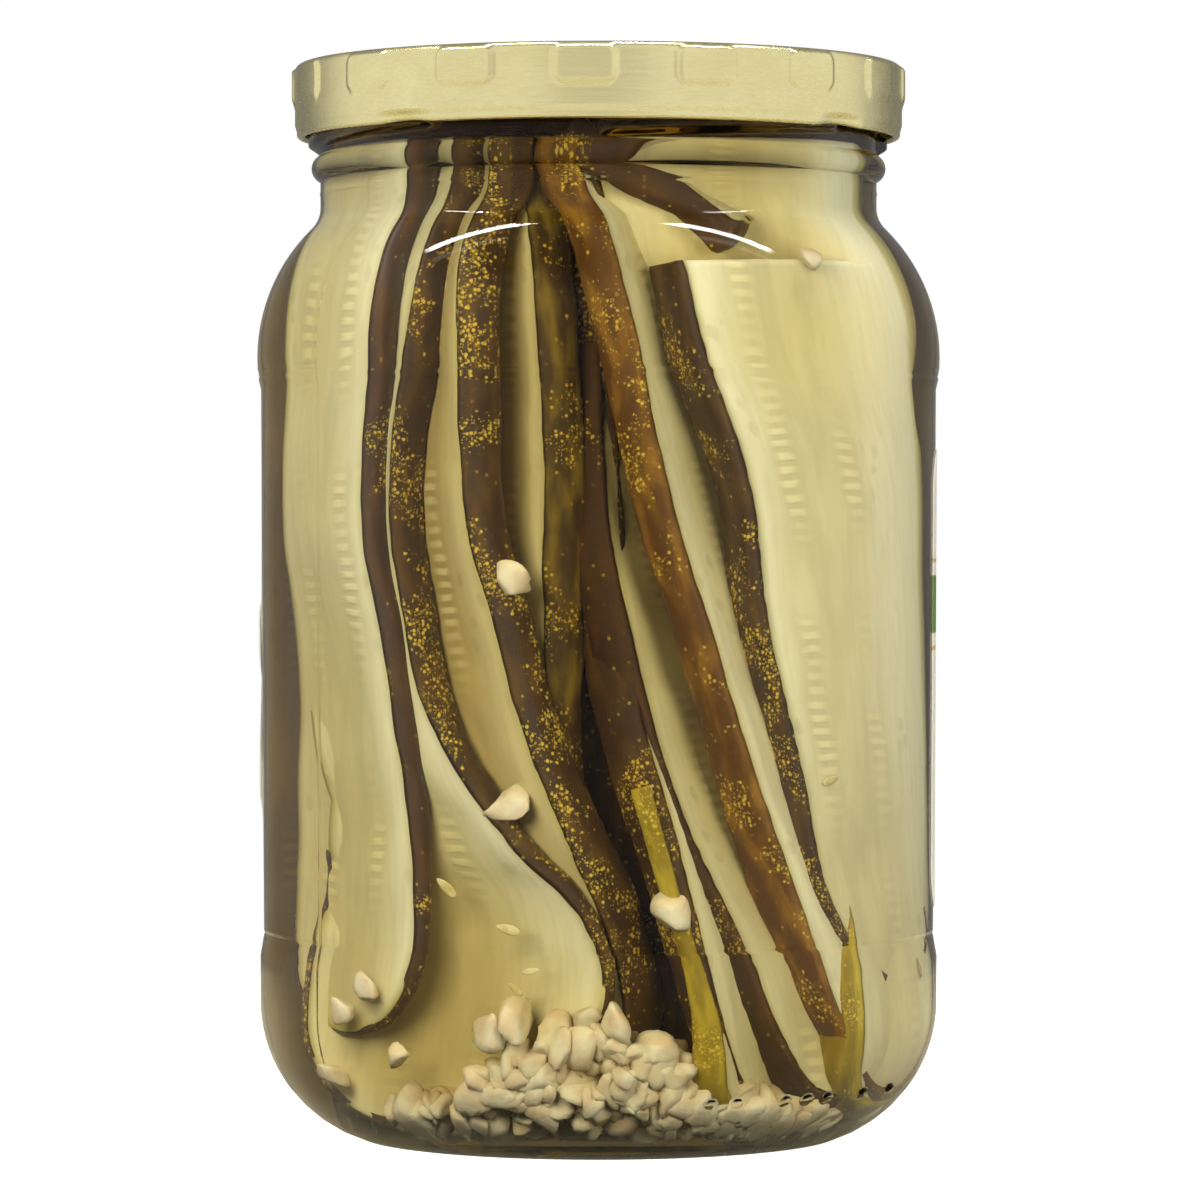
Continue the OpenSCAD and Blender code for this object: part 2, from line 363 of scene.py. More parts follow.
class Shader:
    """The node tree of one material, or of the surroundings."""

    def __init__(self, name: str, world: bool = False) -> None:
        """Makes an empty material or world.

        Args:
            name: its name.
            world: whether it is a world.
        """
        self.owner = (bpy.data.worlds if world else bpy.data.materials).new(name)
        self.owner.use_nodes = True
        self.tree = self.owner.node_tree
        self.tree.nodes.clear()

    def node(self, kind: str, settings: dict[str, object], inputs: dict[object, object]) -> bpy.types.Node:
        """Makes any node.

        Args:
            kind: type of the node.
            settings: its properties, which are set first.
            inputs: a value, a Value or an output socket for each named or numbered socket.

        Returns:
            The node.
        """
        made = self.tree.nodes.new(kind)
        for key, setting in settings.items():
            setattr(made, key, setting)
        for key, given in inputs.items():
            source = given.socket if isinstance(given, Value) else given
            if isinstance(source, Socket):
                self.tree.links.new(source, made.inputs[key])
            elif isinstance(source, tuple) and len(made.inputs[key].default_value) == 4:
                made.inputs[key].default_value = (*source, 1.0)
            else:
                made.inputs[key].default_value = source
        return made

    def place(self, stretch: Colour = (1, 1, 1)) -> Socket:
        """Object coordinates in millimetres, stretched along each axis."""
        place = self.node("ShaderNodeTexCoord", {}, {}).outputs["Object"]
        scale = tuple(part / MM for part in stretch)
        return self.node("ShaderNodeVectorMath", {"operation": "MULTIPLY"}, {0: place, 1: scale}).outputs[0]

    def lay(self) -> tuple["Value", "Value", "Value"]:
        """The piece's own pattern coordinates."""
        stored = self.node("ShaderNodeAttribute", {"attribute_name": "lay"}, {})
        parts = self.node("ShaderNodeSeparateXYZ", {}, {0: stored.outputs["Vector"]})
        return tuple(Value(self, socket) for socket in parts.outputs)

    def join(self, x: Number, y: Number, z: Number) -> Socket:
        """A vector of three values."""
        return self.node("ShaderNodeCombineXYZ", {}, {0: x, 1: y, 2: z}).outputs[0]

    def noise(self, where: Socket, size: float, detail: float = 2.0) -> "Value":
        """Soft noise from 0 to 1 with features of a size in the coordinates' unit."""
        made = self.node("ShaderNodeTexNoise", {}, {"Vector": where, "Scale": 1 / size, "Detail": detail})
        return Value(self, made.outputs["Fac"])

    def spots(self, where: Socket, pitch: float) -> tuple["Value", "Value"]:
        """Distance to the nearest of many scattered points, in pitches, and a random number for each."""
        made = self.node("ShaderNodeTexVoronoi", {}, {"Vector": where, "Scale": 1 / pitch})
        chance = self.node("ShaderNodeSeparateColor", {}, {0: made.outputs["Color"]})
        return Value(self, made.outputs["Distance"]), Value(self, chance.outputs[0])

    def mix(self, share: Number, low: object, high: object) -> Socket:
        """Colour between low, at share 0, and high, at share 1."""
        made = self.node("ShaderNodeMix", {"data_type": "RGBA"}, {0: share, 6: low, 7: high})
        return made.outputs[2]

    def bump(self, height: Value, depth: float) -> Socket:
        """Normal of a surface raised by a height of 0 to 1 times a depth in millimetres."""
        inputs = {"Height": height, "Distance": depth * MM, "Strength": 1.0}
        return self.node("ShaderNodeBump", {}, inputs).outputs[0]

    def blend(self, share: object, low: Socket, high: Socket) -> Socket:
        """Shader between low, at share 0, and high, at share 1."""
        return self.node("ShaderNodeMixShader", {}, {0: share, 1: low, 2: high}).outputs[0]

    def ray(self, kind: str) -> Socket:
        """1 on rays of a kind, 0 on others."""
        return self.node("ShaderNodeLightPath", {}, {}).outputs[f"Is {kind} Ray"]

    def finish(self, surface: Socket, **more: Socket) -> bpy.types.Material:
        """Joins the shaders to the output and returns the material."""
        self.node("ShaderNodeOutputMaterial", {}, {"Surface": surface, **more})
        return self.owner

    def body(self, **inputs: object) -> Socket:
        """A Principled shader; underscores in a socket's name stand for spaces."""
        named = {key.replace("_", " "): given for key, given in inputs.items()}
        return self.node("ShaderNodeBsdfPrincipled", {}, named).outputs[0]


# ---------------------------------------------------------------- finishes


@dataclass(frozen=True)
class Clear:
    """Something that light passes: glass, or brine with its colour in its depth."""

    name: str
    tint: Colour
    bending: float
    gloss: Colour
    depth_colour: Colour | None = None
    depth_density: float = 0.0

    def material(self) -> bpy.types.Material:
        """A clear shader that lets lamp light straight through.

        Returns:
            The material.
        """
        shader = Shader(self.name)
        clear = shader.body(
            Base_Color=self.tint, Roughness=0.0, IOR=self.bending, Transmission_Weight=1.0,
            Specular_Tint=self.gloss,
        )
        passing = shader.node("ShaderNodeBsdfTransparent", {}, {"Color": self.tint}).outputs[0]
        surface = shader.blend(shader.ray("Shadow"), clear, passing)
        if self.depth_colour is None:
            return shader.finish(surface)
        inputs = {"Color": self.depth_colour, "Density": self.depth_density}
        return shader.finish(surface, Volume=shader.node("ShaderNodeVolumeAbsorption", {}, inputs).outputs[0])


@dataclass(frozen=True)
class GoldLacquer:
    """Pale gold lacquer on brushed tinplate, with faint strokes and small marks."""

    name: str = "gold_lacquer"
    gold: Colour = paint(228, 219, 166)
    worn: Colour = paint(214, 203, 148)
    stroke: float = 0.22
    stroke_lay: Colour = (0.02, 0.35, 1.0)
    haze: float = 14.0
    cloud: float = 2.6
    cloud_lay: Colour = (0.2, 1.0, 1.0)
    wear: Span = (0.35, 0.85)
    roughness: float = 0.27
    stroke_gloss: float = 0.06
    cloud_gloss: float = 0.05
    depth: float = 0.0015

    def material(self) -> bpy.types.Material:
        """Metal whose brush strokes run level round the skirt and along X over the top.

        Returns:
            The material.
        """
        shader = Shader(self.name)
        fine = shader.noise(shader.place(self.stroke_lay), self.stroke, 3.0)
        broad = shader.noise(shader.place(), self.haze)
        cloud = shader.noise(shader.place(self.cloud_lay), self.cloud, 4.0)
        tone = (fine * 0.5 + broad * 0.3 + cloud * 0.35).ramp(*self.wear)
        surface = shader.body(
            Base_Color=shader.mix(tone, self.worn, self.gold),
            Metallic=1.0,
            Roughness=self.roughness + (fine - 0.5) * self.stroke_gloss + (cloud - 0.5) * self.cloud_gloss,
            Normal=shader.bump(fine * 0.7 + cloud * 0.3, self.depth),
        )
        return shader.finish(surface)


@dataclass(frozen=True)
class Paper:
    """Coated cream paper with a green band and a thin line above and below it."""

    band_low: float
    band_high: float
    name: str = "label_paper"
    cream: Colour = paint(202, 197, 182)
    green: Colour = paint(78, 116, 42)
    gold: Colour = paint(176, 150, 78)
    line_gap: float = 2.0
    line_width: float = 0.5
    margin: float = 5.0
    soft: float = 0.05
    fibre: float = 0.35
    cloud: float = 9.0
    cloud_span: Span = (0.3, 0.7)
    cloud_shade: float = 0.94
    roughness: float = 0.5
    ink_gloss: float = 0.1
    fibre_deep: float = 0.01
    coat: float = 0.15
    thin: float = 0.45

    def material(self) -> bpy.types.Material:
        """Paper whose print is three level fields of colour, and that lets some light through.

        Returns:
            The material.
        """
        shader = Shader(self.name)
        parts = shader.node("ShaderNodeSeparateXYZ", {}, {0: shader.place()})
        height = Value(shader, parts.outputs[2])
        middle, half = (self.band_low + self.band_high) / 2, (self.band_high - self.band_low) / 2
        left_gap = shader.lay()[0]
        away = abs(height - middle)
        band = away.ramp(half + self.soft, half - self.soft)
        half_line = self.line_width / 2
        edge = abs(away - (half + self.line_gap)).ramp(half_line + self.soft, half_line - self.soft)
        fibre = shader.noise(shader.place(), self.fibre, 4.0)
        cloud = shader.noise(shader.place(), self.cloud)
        share = (fibre * 0.5 + cloud * 0.5).ramp(*self.cloud_span)
        cream = shader.mix(share, shaded(self.cream, self.cloud_shade), self.cream)
        inked = left_gap.ramp(self.margin, self.margin + 2 * self.soft)
        surface = shader.body(
            Base_Color=shader.mix(band * inked, shader.mix(edge * inked, cream, self.gold), self.green),
            Roughness=self.roughness - band * self.ink_gloss + (fibre - 0.5) * self.ink_gloss,
            Normal=shader.bump(fibre, self.fibre_deep),
            Coat_Weight=self.coat,
        )
        lit = shader.node("ShaderNodeBsdfTranslucent", {}, {"Color": self.cream}).outputs[0]
        return shader.finish(shader.blend(self.thin, surface, lit))


class PeelTone(Enum):
    """Shades of the pickled peel: main colour, lighter patches, and how many gold specks it has."""

    DARK = (paint(48, 30, 12), paint(70, 46, 18), 0.30)
    SPECKLED = (paint(46, 30, 12), paint(74, 52, 18), 0.62)
    AMBER = (paint(74, 46, 12), paint(124, 88, 28), 0.50)
    OLIVE = (paint(54, 40, 18), paint(112, 94, 34), 0.42)
    YELLOW = (paint(118, 100, 24), paint(168, 148, 46), 0.60)


@dataclass(frozen=True)
class Peel:
    """Wet peel with clusters of gold specks and duller grey patches."""

    tone: PeelTone
    speck: Colour = paint(186, 158, 60)
    mottle: Colour = paint(122, 102, 34)
    patch: float = 3.0
    patch_lay: Span = (0.35, 1.2)
    patch_span: Span = (0.42, 0.72)
    cluster: float = 8.0
    crowd_span: Span = (0.62, 0.82)
    crowd_gain: float = 0.3
    blot: float = 1.1
    blot_lay: float = 0.5
    blot_span: Span = (0.58, 0.72)
    blot_share: float = 0.6
    speck_pitch: float = 0.62
    speck_size: Span = (0.50, 0.22)
    speck_span: Span = (0.92, 1.06)
    speck_crowd: float = 0.8
    dust_pitch: float = 0.31
    dust_size: Span = (0.48, 0.22)
    dust_span: Span = (0.95, 1.1)
    dust_crowd: float = 0.7
    dust_share: float = 0.75
    roughness: float = 0.45
    patch_gloss: float = 0.3
    lump: float = 0.7
    depth: float = 0.10

    def material(self) -> bpy.types.Material:
        """Dark skin, lighter in long patches, with specks only where a broad noise is high.

        Returns:
            The material.
        """
        dark, light, amount = self.tone.value
        shader = Shader(f"peel_{self.tone.name.lower()}")
        where = shader.place()
        along, across, _ = shader.lay()
        patch_along, patch_across = self.patch_lay
        patch = shader.noise(shader.join(along * patch_along, across * patch_across, 0.0), self.patch, 3.0)
        skin = shader.mix(patch.ramp(*self.patch_span), dark, light)
        low, high = (end - self.crowd_gain * amount for end in self.crowd_span)
        crowd = shader.noise(where, self.cluster, 3.0).ramp(low, high)
        blot = shader.noise(shader.join(along * self.blot_lay, across, 0.0), self.blot, 4.0)
        blot = blot.ramp(*self.blot_span)
        skin = shader.mix(blot * crowd * self.blot_share, skin, self.mottle)
        near, chance = shader.spots(where, self.speck_pitch)
        speck = near.ramp(*self.speck_size) * (chance + crowd * self.speck_crowd).ramp(*self.speck_span)
        tiny, luck = shader.spots(where, self.dust_pitch)
        dust = tiny.ramp(*self.dust_size) * (luck + crowd * self.dust_crowd).ramp(*self.dust_span)
        marks = speck.over(dust * self.dust_share)
        surface = shader.body(
            Base_Color=shader.mix(marks, skin, self.speck),
            Roughness=self.roughness + (patch - 0.5) * self.patch_gloss,
            Normal=shader.bump(patch * 0.4 + marks * 0.2 + shader.noise(where, self.lump) * 0.4, self.depth),
        )
        return shader.finish(surface)


class FleshTone(Enum):
    """Colours of the pickled flesh: main colour, and colour round the seeds. The first tone is the flesh's
    own colour; the second is a darker, browner copy of it, which paints shade on a slice that stands deep
    between the others.
    """

    PALE = (paint(217, 213, 187), paint(201, 193, 154))
    # painted shade: the flesh darkened for a slice shaded deep between the others
    DEEP = (paint(186, 172, 128), paint(172, 154, 104))


@dataclass(frozen=True)
class Flesh:
    """Wet cucumber flesh: greener under the peel, with rows of seeds along its middle."""

    tone: FleshTone
    rind: Colour = paint(168, 158, 84)
    rind_span: Span = (2.6, 0.4)
    rind_share: float = 0.8
    seed: Colour = paint(232, 222, 186)
    seed_row: float = 5.2
    seed_span: Span = (2.3, 0.4)
    seed_pitch: float = 1.75
    seed_share: float = 0.6
    bed_span: Span = (3.5, 0.6)
    bed_shade: float = 0.8
    oval_row: float = 11.0
    oval_pitch: float = 2.4
    oval_size: Span = (0.44, 0.26)
    oval_span: Span = (3.2, 1.8)
    oval_chance: Span = (0.35, 0.45)
    oval_shade: float = 0.7
    mark_share: float = 0.4
    cloud: float = 9.0
    cloud_share: float = 0.6
    bend_length: float = 16.0
    bend_by: float = 5.0
    wander_length: float = 1.3
    wander_by: float = 1.8
    uneven_pitch: float = 1.6
    heart_span: Span = (13.0, 4.2)
    heart_share: float = 0.75
    seen_length: float = 17.0
    seen_span: Span = (0.42, 0.62)
    clear_length: float = 4.0
    clear_span: Span = (0.4, 0.65)
    clear_share: float = 0.35
    clear_shade: float = 0.72
    fibre: float = 1.6
    fibre_lay: Span = (0.18, 1.5)
    fibre_span: Span = (-0.1, 0.25)
    fibre_share: float = 0.3
    fibre_shade: float = 0.85
    roughness: float = 0.42
    fibre_gloss: float = 0.2
    depth: float = 0.22

    def material(self) -> bpy.types.Material:
        """Pale flesh shaded by the distance from the slice's middle line, in millimetres.

        Returns:
            The material.
        """
        pale, core = self.tone.value
        shader = Shader(f"flesh_{self.tone.name.lower()}")
        where = shader.place()
        along, across, edge = shader.lay()
        cloud = shader.noise(where, self.cloud, 3.0)
        fibre_along, fibre_across = self.fibre_lay
        fibre = shader.noise(shader.join(along * fibre_along, across * fibre_across, 0.0), self.fibre, 4.0)
        bend = across + (shader.noise(shader.join(along, 0.0, 0.0), self.bend_length) - 0.5) * self.bend_by
        middle = abs(bend)
        inner = middle.ramp(*self.heart_span)
        step = (along + (cloud - 0.5) * self.uneven_pitch) * (2 * np.pi / self.seed_pitch)
        wander = (shader.noise(shader.join(along, across, 0.0), self.wander_length) - 0.5) * self.wander_by
        dash = (step.wave() * 0.5 + 0.5).ramp(0.1, 0.9)
        dash = dash * abs(middle - self.seed_row + wander).ramp(*self.seed_span)
        near, chance = shader.spots(shader.join(along * 0.8, across, 0.0), self.oval_pitch)
        oval = near.ramp(*self.oval_size) * chance.ramp(*self.oval_chance)
        oval = oval * abs(middle - self.oval_row + wander).ramp(*self.oval_span)
        seen = shader.noise(shader.join(along, across * 0.5, 0.0), self.seen_length).ramp(*self.seen_span)
        clear = shader.noise(shader.join(along * 0.3, across, 0.0), self.clear_length, 3.0)
        clear = clear.ramp(*self.clear_span)
        base = shader.mix(inner * self.heart_share + (cloud - 0.5) * self.cloud_share, pale, core)
        base = shader.mix(clear * inner * self.clear_share, base, shaded(core, self.clear_shade))
        strand = (fibre - 0.5).ramp(*self.fibre_span)
        base = shader.mix(strand * self.fibre_share, base, shaded(core, self.fibre_shade))
        bed = abs(middle - self.seed_row).ramp(*self.bed_span) * seen
        base = shader.mix(bed * self.mark_share, base, shaded(core, self.bed_shade))
        base = shader.mix(oval * seen * self.mark_share, base, shaded(core, self.oval_shade))
        marks = dash * seen * self.seed_share
        base = shader.mix(marks, base, self.seed)
        base = shader.mix(edge.ramp(*self.rind_span) * self.rind_share, base, self.rind)
        surface = shader.body(
            Base_Color=base,
            Roughness=self.roughness + (fibre - 0.5) * self.fibre_gloss,
            Normal=shader.bump(fibre * 0.35 + marks * 0.65, self.depth),
        )
        return shader.finish(surface)


@dataclass(frozen=True)
class Matt:
    """A soft matt food surface with clouds of a second colour."""

    name: str
    light: Colour
    dark: Colour
    cloud: float
    cloud_span: Span = (0.35, 0.65)
    grain: float = 0.35
    grain_gloss: float = 0.2
    grain_deep: float = 0.08
    roughness: float = 0.55

    def material(self) -> bpy.types.Material:
        """Two colours mixed by noise, with a fine grain.

        Returns:
            The material.
        """
        shader = Shader(self.name)
        cloud = shader.noise(shader.place(), self.cloud, 3.0)
        grain = shader.noise(shader.place(), self.grain, 3.0)
        surface = shader.body(
            Base_Color=shader.mix(cloud.ramp(*self.cloud_span), self.light, self.dark),
            Roughness=self.roughness + (grain - 0.5) * self.grain_gloss,
            Normal=shader.bump(grain, self.grain_deep),
        )
        return shader.finish(surface)


# ---------------------------------------------------------------- glass, brine, cap and label


@dataclass
class Glass:
    """The jar's glass: its outlines, threads, bead, seams and moulded dots."""

    body_r: float
    height: float
    base_t: float = 4.2
    push_up: float = 1.4
    foot_r: float = 32.0
    foot_w: float = 2.5
    heel_ring_r: float = 45.1
    heel_r: float = 18.9
    heel_in_r: float = 13.0
    ring_band: float = 6.0
    step_h: float = 1.4
    panel_low_r: float = 44.6
    panel_high_r: float = 45.0
    panel_top: float = 99.3
    contact_h: float = 2.8
    contact_in: float = 0.17
    cavity_r: float = 42.3
    shoulder_r: float = 24.0
    hollow_r: float = 4.0
    hollow_in_r: float = 5.45
    neck_r: float = 37.1
    bore_r: float = 34.2
    bead_out: float = 1.2
    bead_r: float = 1.85
    bead_z: float = 128.7
    rim_round: float = 0.8
    thread_out: float = 1.6
    thread_z: float = 133.0
    thread_lead: float = 12.0
    thread_sweep: float = 56.0
    thread_first: float = -152.0
    thread_foot: float = 3.8
    thread_crest: float = 1.0
    thread_count: int = 4
    thread_reach: float = 5.2
    seam_azimuth: float = -53.6
    seam_out: float = 0.09
    parting_z: float = 125.3
    dot_z: float = 7.8
    dot_first: float = 19.7
    dot_pitch: float = 4.85
    dot_steps: tuple[int, ...] = (0, 1, 3, 4, 5, 7, 9)
    dot_r: float = 0.85
    dot_out: float = 0.7
    dot_flat: float = 1.2
    dot_rows: float = 4.4
    seam_w: float = 0.2
    seam_span: tuple[Span, Span] = ((9.0, 12.0), (128.0, 126.5))
    parting_w: float = 0.18
    ripple: float = 0.06
    ripple_length: float = 26.0
    ripple_span: Span = (8.0, 20.0)
    into_wall: float = 0.1
    crease_deep: float = 0.14
    crease_w: float = 0.3
    columns: int = 360
    fine_step: float = 0.5

    def shoulder(self, radius: float, wall_r: float, hollow: float, count: int) -> np.ndarray:
        """Shoulder arc and the hollow above it, which meet without a kink.

        Args:
            radius: radius of the shoulder.
            wall_r: radius of the neck above.
            hollow: radius of the hollow.
            count: points on each arc.

        Returns:
            The outline, upwards.
        """
        centre_r = self.body_r - self.shoulder_r
        centre_z = self.panel_top + self.step_h + self.contact_h
        rise = np.sqrt((radius + hollow) ** 2 - (wall_r + hollow - centre_r) ** 2)
        meet = np.degrees(np.arctan2(rise, wall_r + hollow - centre_r))
        lower = arc(centre_r, centre_z, radius, 0, meet, count)
        upper = arc(wall_r + hollow, centre_z + rise, hollow, meet + 180, 180, count)
        return np.concatenate([lower, upper[1:]])

    def crease(self, radius: float, low: float) -> np.ndarray:
        """A fine groove where two moulded fields meet."""
        deep = (radius - self.crease_deep, low + self.crease_w)
        return np.array([(radius, low), deep, (radius, low + 2 * self.crease_w)])

    def outside(self) -> np.ndarray:
        """Outline of the outside.

        Returns:
            Radius and height of its points, from the middle of the underside to the rim.
        """
        heel_centre = self.heel_ring_r - self.heel_r
        heel_z = np.sqrt(self.heel_r**2 - (self.foot_r - heel_centre) ** 2)
        start = -np.degrees(np.arctan2(heel_z, self.foot_r - heel_centre))
        dots = -np.degrees(np.arcsin((heel_z - self.dot_z) / self.heel_r))
        ring_top = heel_z + self.ring_band
        foot_in = self.foot_r - self.foot_w
        step_r = (self.heel_ring_r + self.panel_low_r) / 2
        panel_low, contact_z = ring_top + 2 * self.step_h, self.panel_top + self.step_h
        contact_r = self.body_r - self.contact_in
        bead_c = self.neck_r + self.bead_out - self.bead_r
        half = np.degrees(np.arccos((self.neck_r - bead_c) / self.bead_r))
        bead_top = self.bead_z + self.bead_r * np.sin(np.radians(half))
        finish_z, past = self.thread_z + self.thread_reach, 3 * self.crease_w
        return np.concatenate([
            line((0.5, self.push_up), (foot_in - 2 * self.push_up, self.push_up), 6),
            line((foot_in - 2 * self.push_up, self.push_up), (foot_in + 0.4, 0.02), 5),
            line((foot_in + 0.4, 0), (self.foot_r - 0.4, 0), 3),
            arc(heel_centre, heel_z, self.heel_r, start, dots - 5, 5),
            arc(heel_centre, heel_z, self.heel_r, dots - self.dot_rows, dots + self.dot_rows, 15),
            arc(heel_centre, heel_z, self.heel_r, dots + 5, 0, 9),
            line((self.heel_ring_r, heel_z + 1.5), (self.heel_ring_r, ring_top - 0.3), 3),
            line((self.heel_ring_r, ring_top), (step_r, ring_top + self.step_h), 3),
            line((step_r, ring_top + self.step_h), (self.panel_low_r, panel_low), 2),
            self.crease(self.panel_low_r, panel_low),
            line((self.panel_low_r, panel_low + past), (self.panel_high_r, self.panel_top), 9),
            line((self.panel_high_r, self.panel_top), (contact_r, contact_z), 3),
            self.crease(contact_r, contact_z),
            line((contact_r, contact_z + past), (self.body_r, contact_z + self.step_h), 3),
            self.shoulder(self.shoulder_r, self.neck_r, self.hollow_r, 14),
            line((self.neck_r, self.parting_z - 0.5), (self.neck_r, self.parting_z + 0.5), 7),
            arc(bead_c, self.bead_z, self.bead_r, -half, half, 11),
            line((self.neck_r, bead_top + 0.2), (self.neck_r, finish_z), 24),
            line((self.neck_r, finish_z), (self.neck_r, self.height - self.rim_round), 3),
            arc(self.neck_r - self.rim_round, self.height - self.rim_round, self.rim_round, 0, 90, 5),
        ])

    def inside(self) -> np.ndarray:
        """Outline of the inside.

        Returns:
            Radius and height of its points, from the rim down to the middle of the floor.
        """
        corner = self.cavity_r - self.heel_in_r
        shoulder_r = self.cavity_r - (self.body_r - self.shoulder_r)
        return np.concatenate([
            arc(self.bore_r + self.rim_round, self.height - self.rim_round, self.rim_round, 90, 180, 4),
            line((self.bore_r, self.height - 1.5), (self.bore_r, self.parting_z + 1), 5),
            self.shoulder(shoulder_r, self.bore_r, self.hollow_in_r, 10)[::-1],
            line((self.cavity_r, self.panel_top), (self.cavity_r, self.base_t + self.heel_in_r + 3), 12),
            arc(corner, self.base_t + self.heel_in_r, self.heel_in_r, 0, -90, 12),
            line((corner - 3, self.base_t), (AXIS_GAP, self.base_t), 6),
        ])

    def room(self, height: np.ndarray) -> np.ndarray:
        """Inner radius of the glass.

        Args:
            height: heights above the ground.

        Returns:
            The radius at each height.
        """
        outline = self.inside()[::-1]
        wall = outline[outline[:, 1] > self.base_t]
        return np.interp(height, wall[:, 1], wall[:, 0])

    def keep_in(self, points: np.ndarray, gap: float, soft: float = 2.0) -> np.ndarray:
        """Presses points that would cut the glass softly against it.

        Distances from the axis beyond start = room - gap - soft become
        room - gap - soft * exp((start - distance) / soft), so that no two layers meet.

        Args:
            points: places, with the last axis x, y, z.
            gap: clearance that is kept to wall and floor.
            soft: depth over which they are pressed.

        Returns:
            The places, moved level towards the axis and up from the floor where needed.
        """
        height = np.maximum(points[..., 2], self.base_t + gap)
        distance = np.hypot(points[..., 0], points[..., 1])
        limit = self.room(height) - gap
        pressed = limit - soft * np.exp(-np.maximum(distance - limit + soft, 0) / soft)
        share = np.where(distance > limit - soft, pressed / np.maximum(distance, TINY), 1.0)
        return np.stack([points[..., 0] * share, points[..., 1] * share, height], -1)

    def uneven(self, rings: np.ndarray) -> np.ndarray:
        """Makes the inside slightly wavy, as pressed glass is.

        Args:
            rings: points of the inside.

        Returns:
            The points, moved level towards the axis or away from it.
        """
        x, y, z = np.moveaxis(rings, -1, 0)
        distance = np.hypot(x, y)
        flat = smooth(distance, *self.ripple_span) * self.ripple
        share = 1 + flat * waves(3, self.ripple_length, x, y, z) / np.maximum(distance, 1.0)
        return np.stack([x * share, y * share, z], -1)

    def angles(self) -> np.ndarray:
        """Directions of the mesh's columns: even, and closer at the dots and the two seams.

        Returns:
            Angles in degrees, 0 to 360.
        """
        last = self.dot_first + self.dot_pitch * self.dot_steps[-1]
        dots = np.arange(self.dot_first - 2, last + 2, self.fine_step)
        seam = self.seam_azimuth + np.linspace(-0.5, 0.5, 7)
        even = np.linspace(-TURN / 2, TURN / 2, self.columns, endpoint=False)
        every = np.concatenate([even, dots, seam, seam + TURN / 2]) + FRONT
        return np.unique(np.round(every % TURN, 2))

    def relief(self, angles: np.ndarray, outline: np.ndarray) -> np.ndarray:
        """How far the outside stands out of its outline: threads, seams, parting line and dots.

        A thread is a ridge with sloping flanks whose middle climbs with the angle; a seam is a
        narrow bell curve in the angle; a dot is a dome by its distance along the surface.

        Args:
            angles: directions of the columns, in degrees.
            outline: radius and height of the rows.

        Returns:
            Distances outwards, as rows x columns.
        """
        radius, height = outline[:, :1], outline[:, 1:]
        out = np.zeros((len(outline), len(angles)))
        for number in range(self.thread_count):
            along = turned(angles, self.thread_first + number * TURN / self.thread_count)[None]
            away = abs(height - self.thread_z - self.thread_lead * along / TURN)
            flank = smooth(away, self.thread_foot / 2, self.thread_crest / 2)
            ends = smooth(abs(along), self.thread_sweep / 2 + 1, self.thread_sweep / 2 - 3)
            out = np.maximum(out, self.thread_out * flank * ends)
        low, high = self.seam_span
        body = smooth(height, *low) * smooth(height, *high)
        for half in (0, TURN / 2):
            along = np.radians(turned(angles, self.seam_azimuth + half + FRONT))[None] * radius
            out = out + self.seam_out * np.exp(-((along / self.seam_w) ** 2)) * body
        out = out + self.seam_out * np.exp(-(((height - self.parting_z) / self.parting_w) ** 2))
        for step in self.dot_steps:
            along = np.radians(turned(angles, self.dot_first + step * self.dot_pitch + FRONT))[None] * radius
            reach = np.hypot(along, (height - self.dot_z) * self.dot_flat) / self.dot_r
            out = out + self.dot_out * np.sqrt(np.clip(1 - reach**2, 0, 1))
        return out * (radius > self.foot_r)

    def build(self) -> None:
        """Makes the glass as one closed surface, with a duller finish where it touches the brine."""
        angles = self.angles()
        outer, inner = self.outside(), self.inside()
        shape = np.repeat(outer[:, None], len(angles), 1)
        shape[..., 0] += self.relief(angles, outer)
        rings = np.concatenate([revolve(shape, angles), self.uneven(revolve(inner, angles))])
        finish = (np.arange(len(rings) - 1) >= len(outer)).astype(int)
        surface = Surface()
        surface.tube(rings, finish)
        clear = Clear("jar_glass", GLASS_TINT, GLASS_BENDING, gloss=DRY_GLOSS)
        wet = Clear("jar_glass_inside", WHITE, GLASS_BENDING, gloss=WET_GLOSS)
        surface.piece("glass_jar", "jar_glass", [clear.material(), wet.material()], "jar")

    def fill(self, level: float) -> None:
        """Makes the brine, whose sides reach just into the wall.

        Args:
            level: height of its surface.
        """
        outline = self.inside()[::-1]
        below = outline[outline[:, 1] < level - 0.5] + (self.into_wall, 0)
        below[:, 1] -= self.into_wall * smooth(below[:, 1], self.base_t + 1, self.base_t)
        top = line((self.bore_r + self.into_wall, level), (AXIS_GAP, level), 5)
        angles = np.linspace(0, TURN, 288, endpoint=False)
        surface = Surface()
        surface.tube(self.uneven(revolve(np.concatenate([below, top]), angles)))
        brine = Clear("brine", BRINE_TINT, BRINE_BENDING, WET_GLOSS, BRINE_DEPTH, BRINE_DENSITY)
        surface.piece("brine_fill", "brine", [brine.material()], "brine")


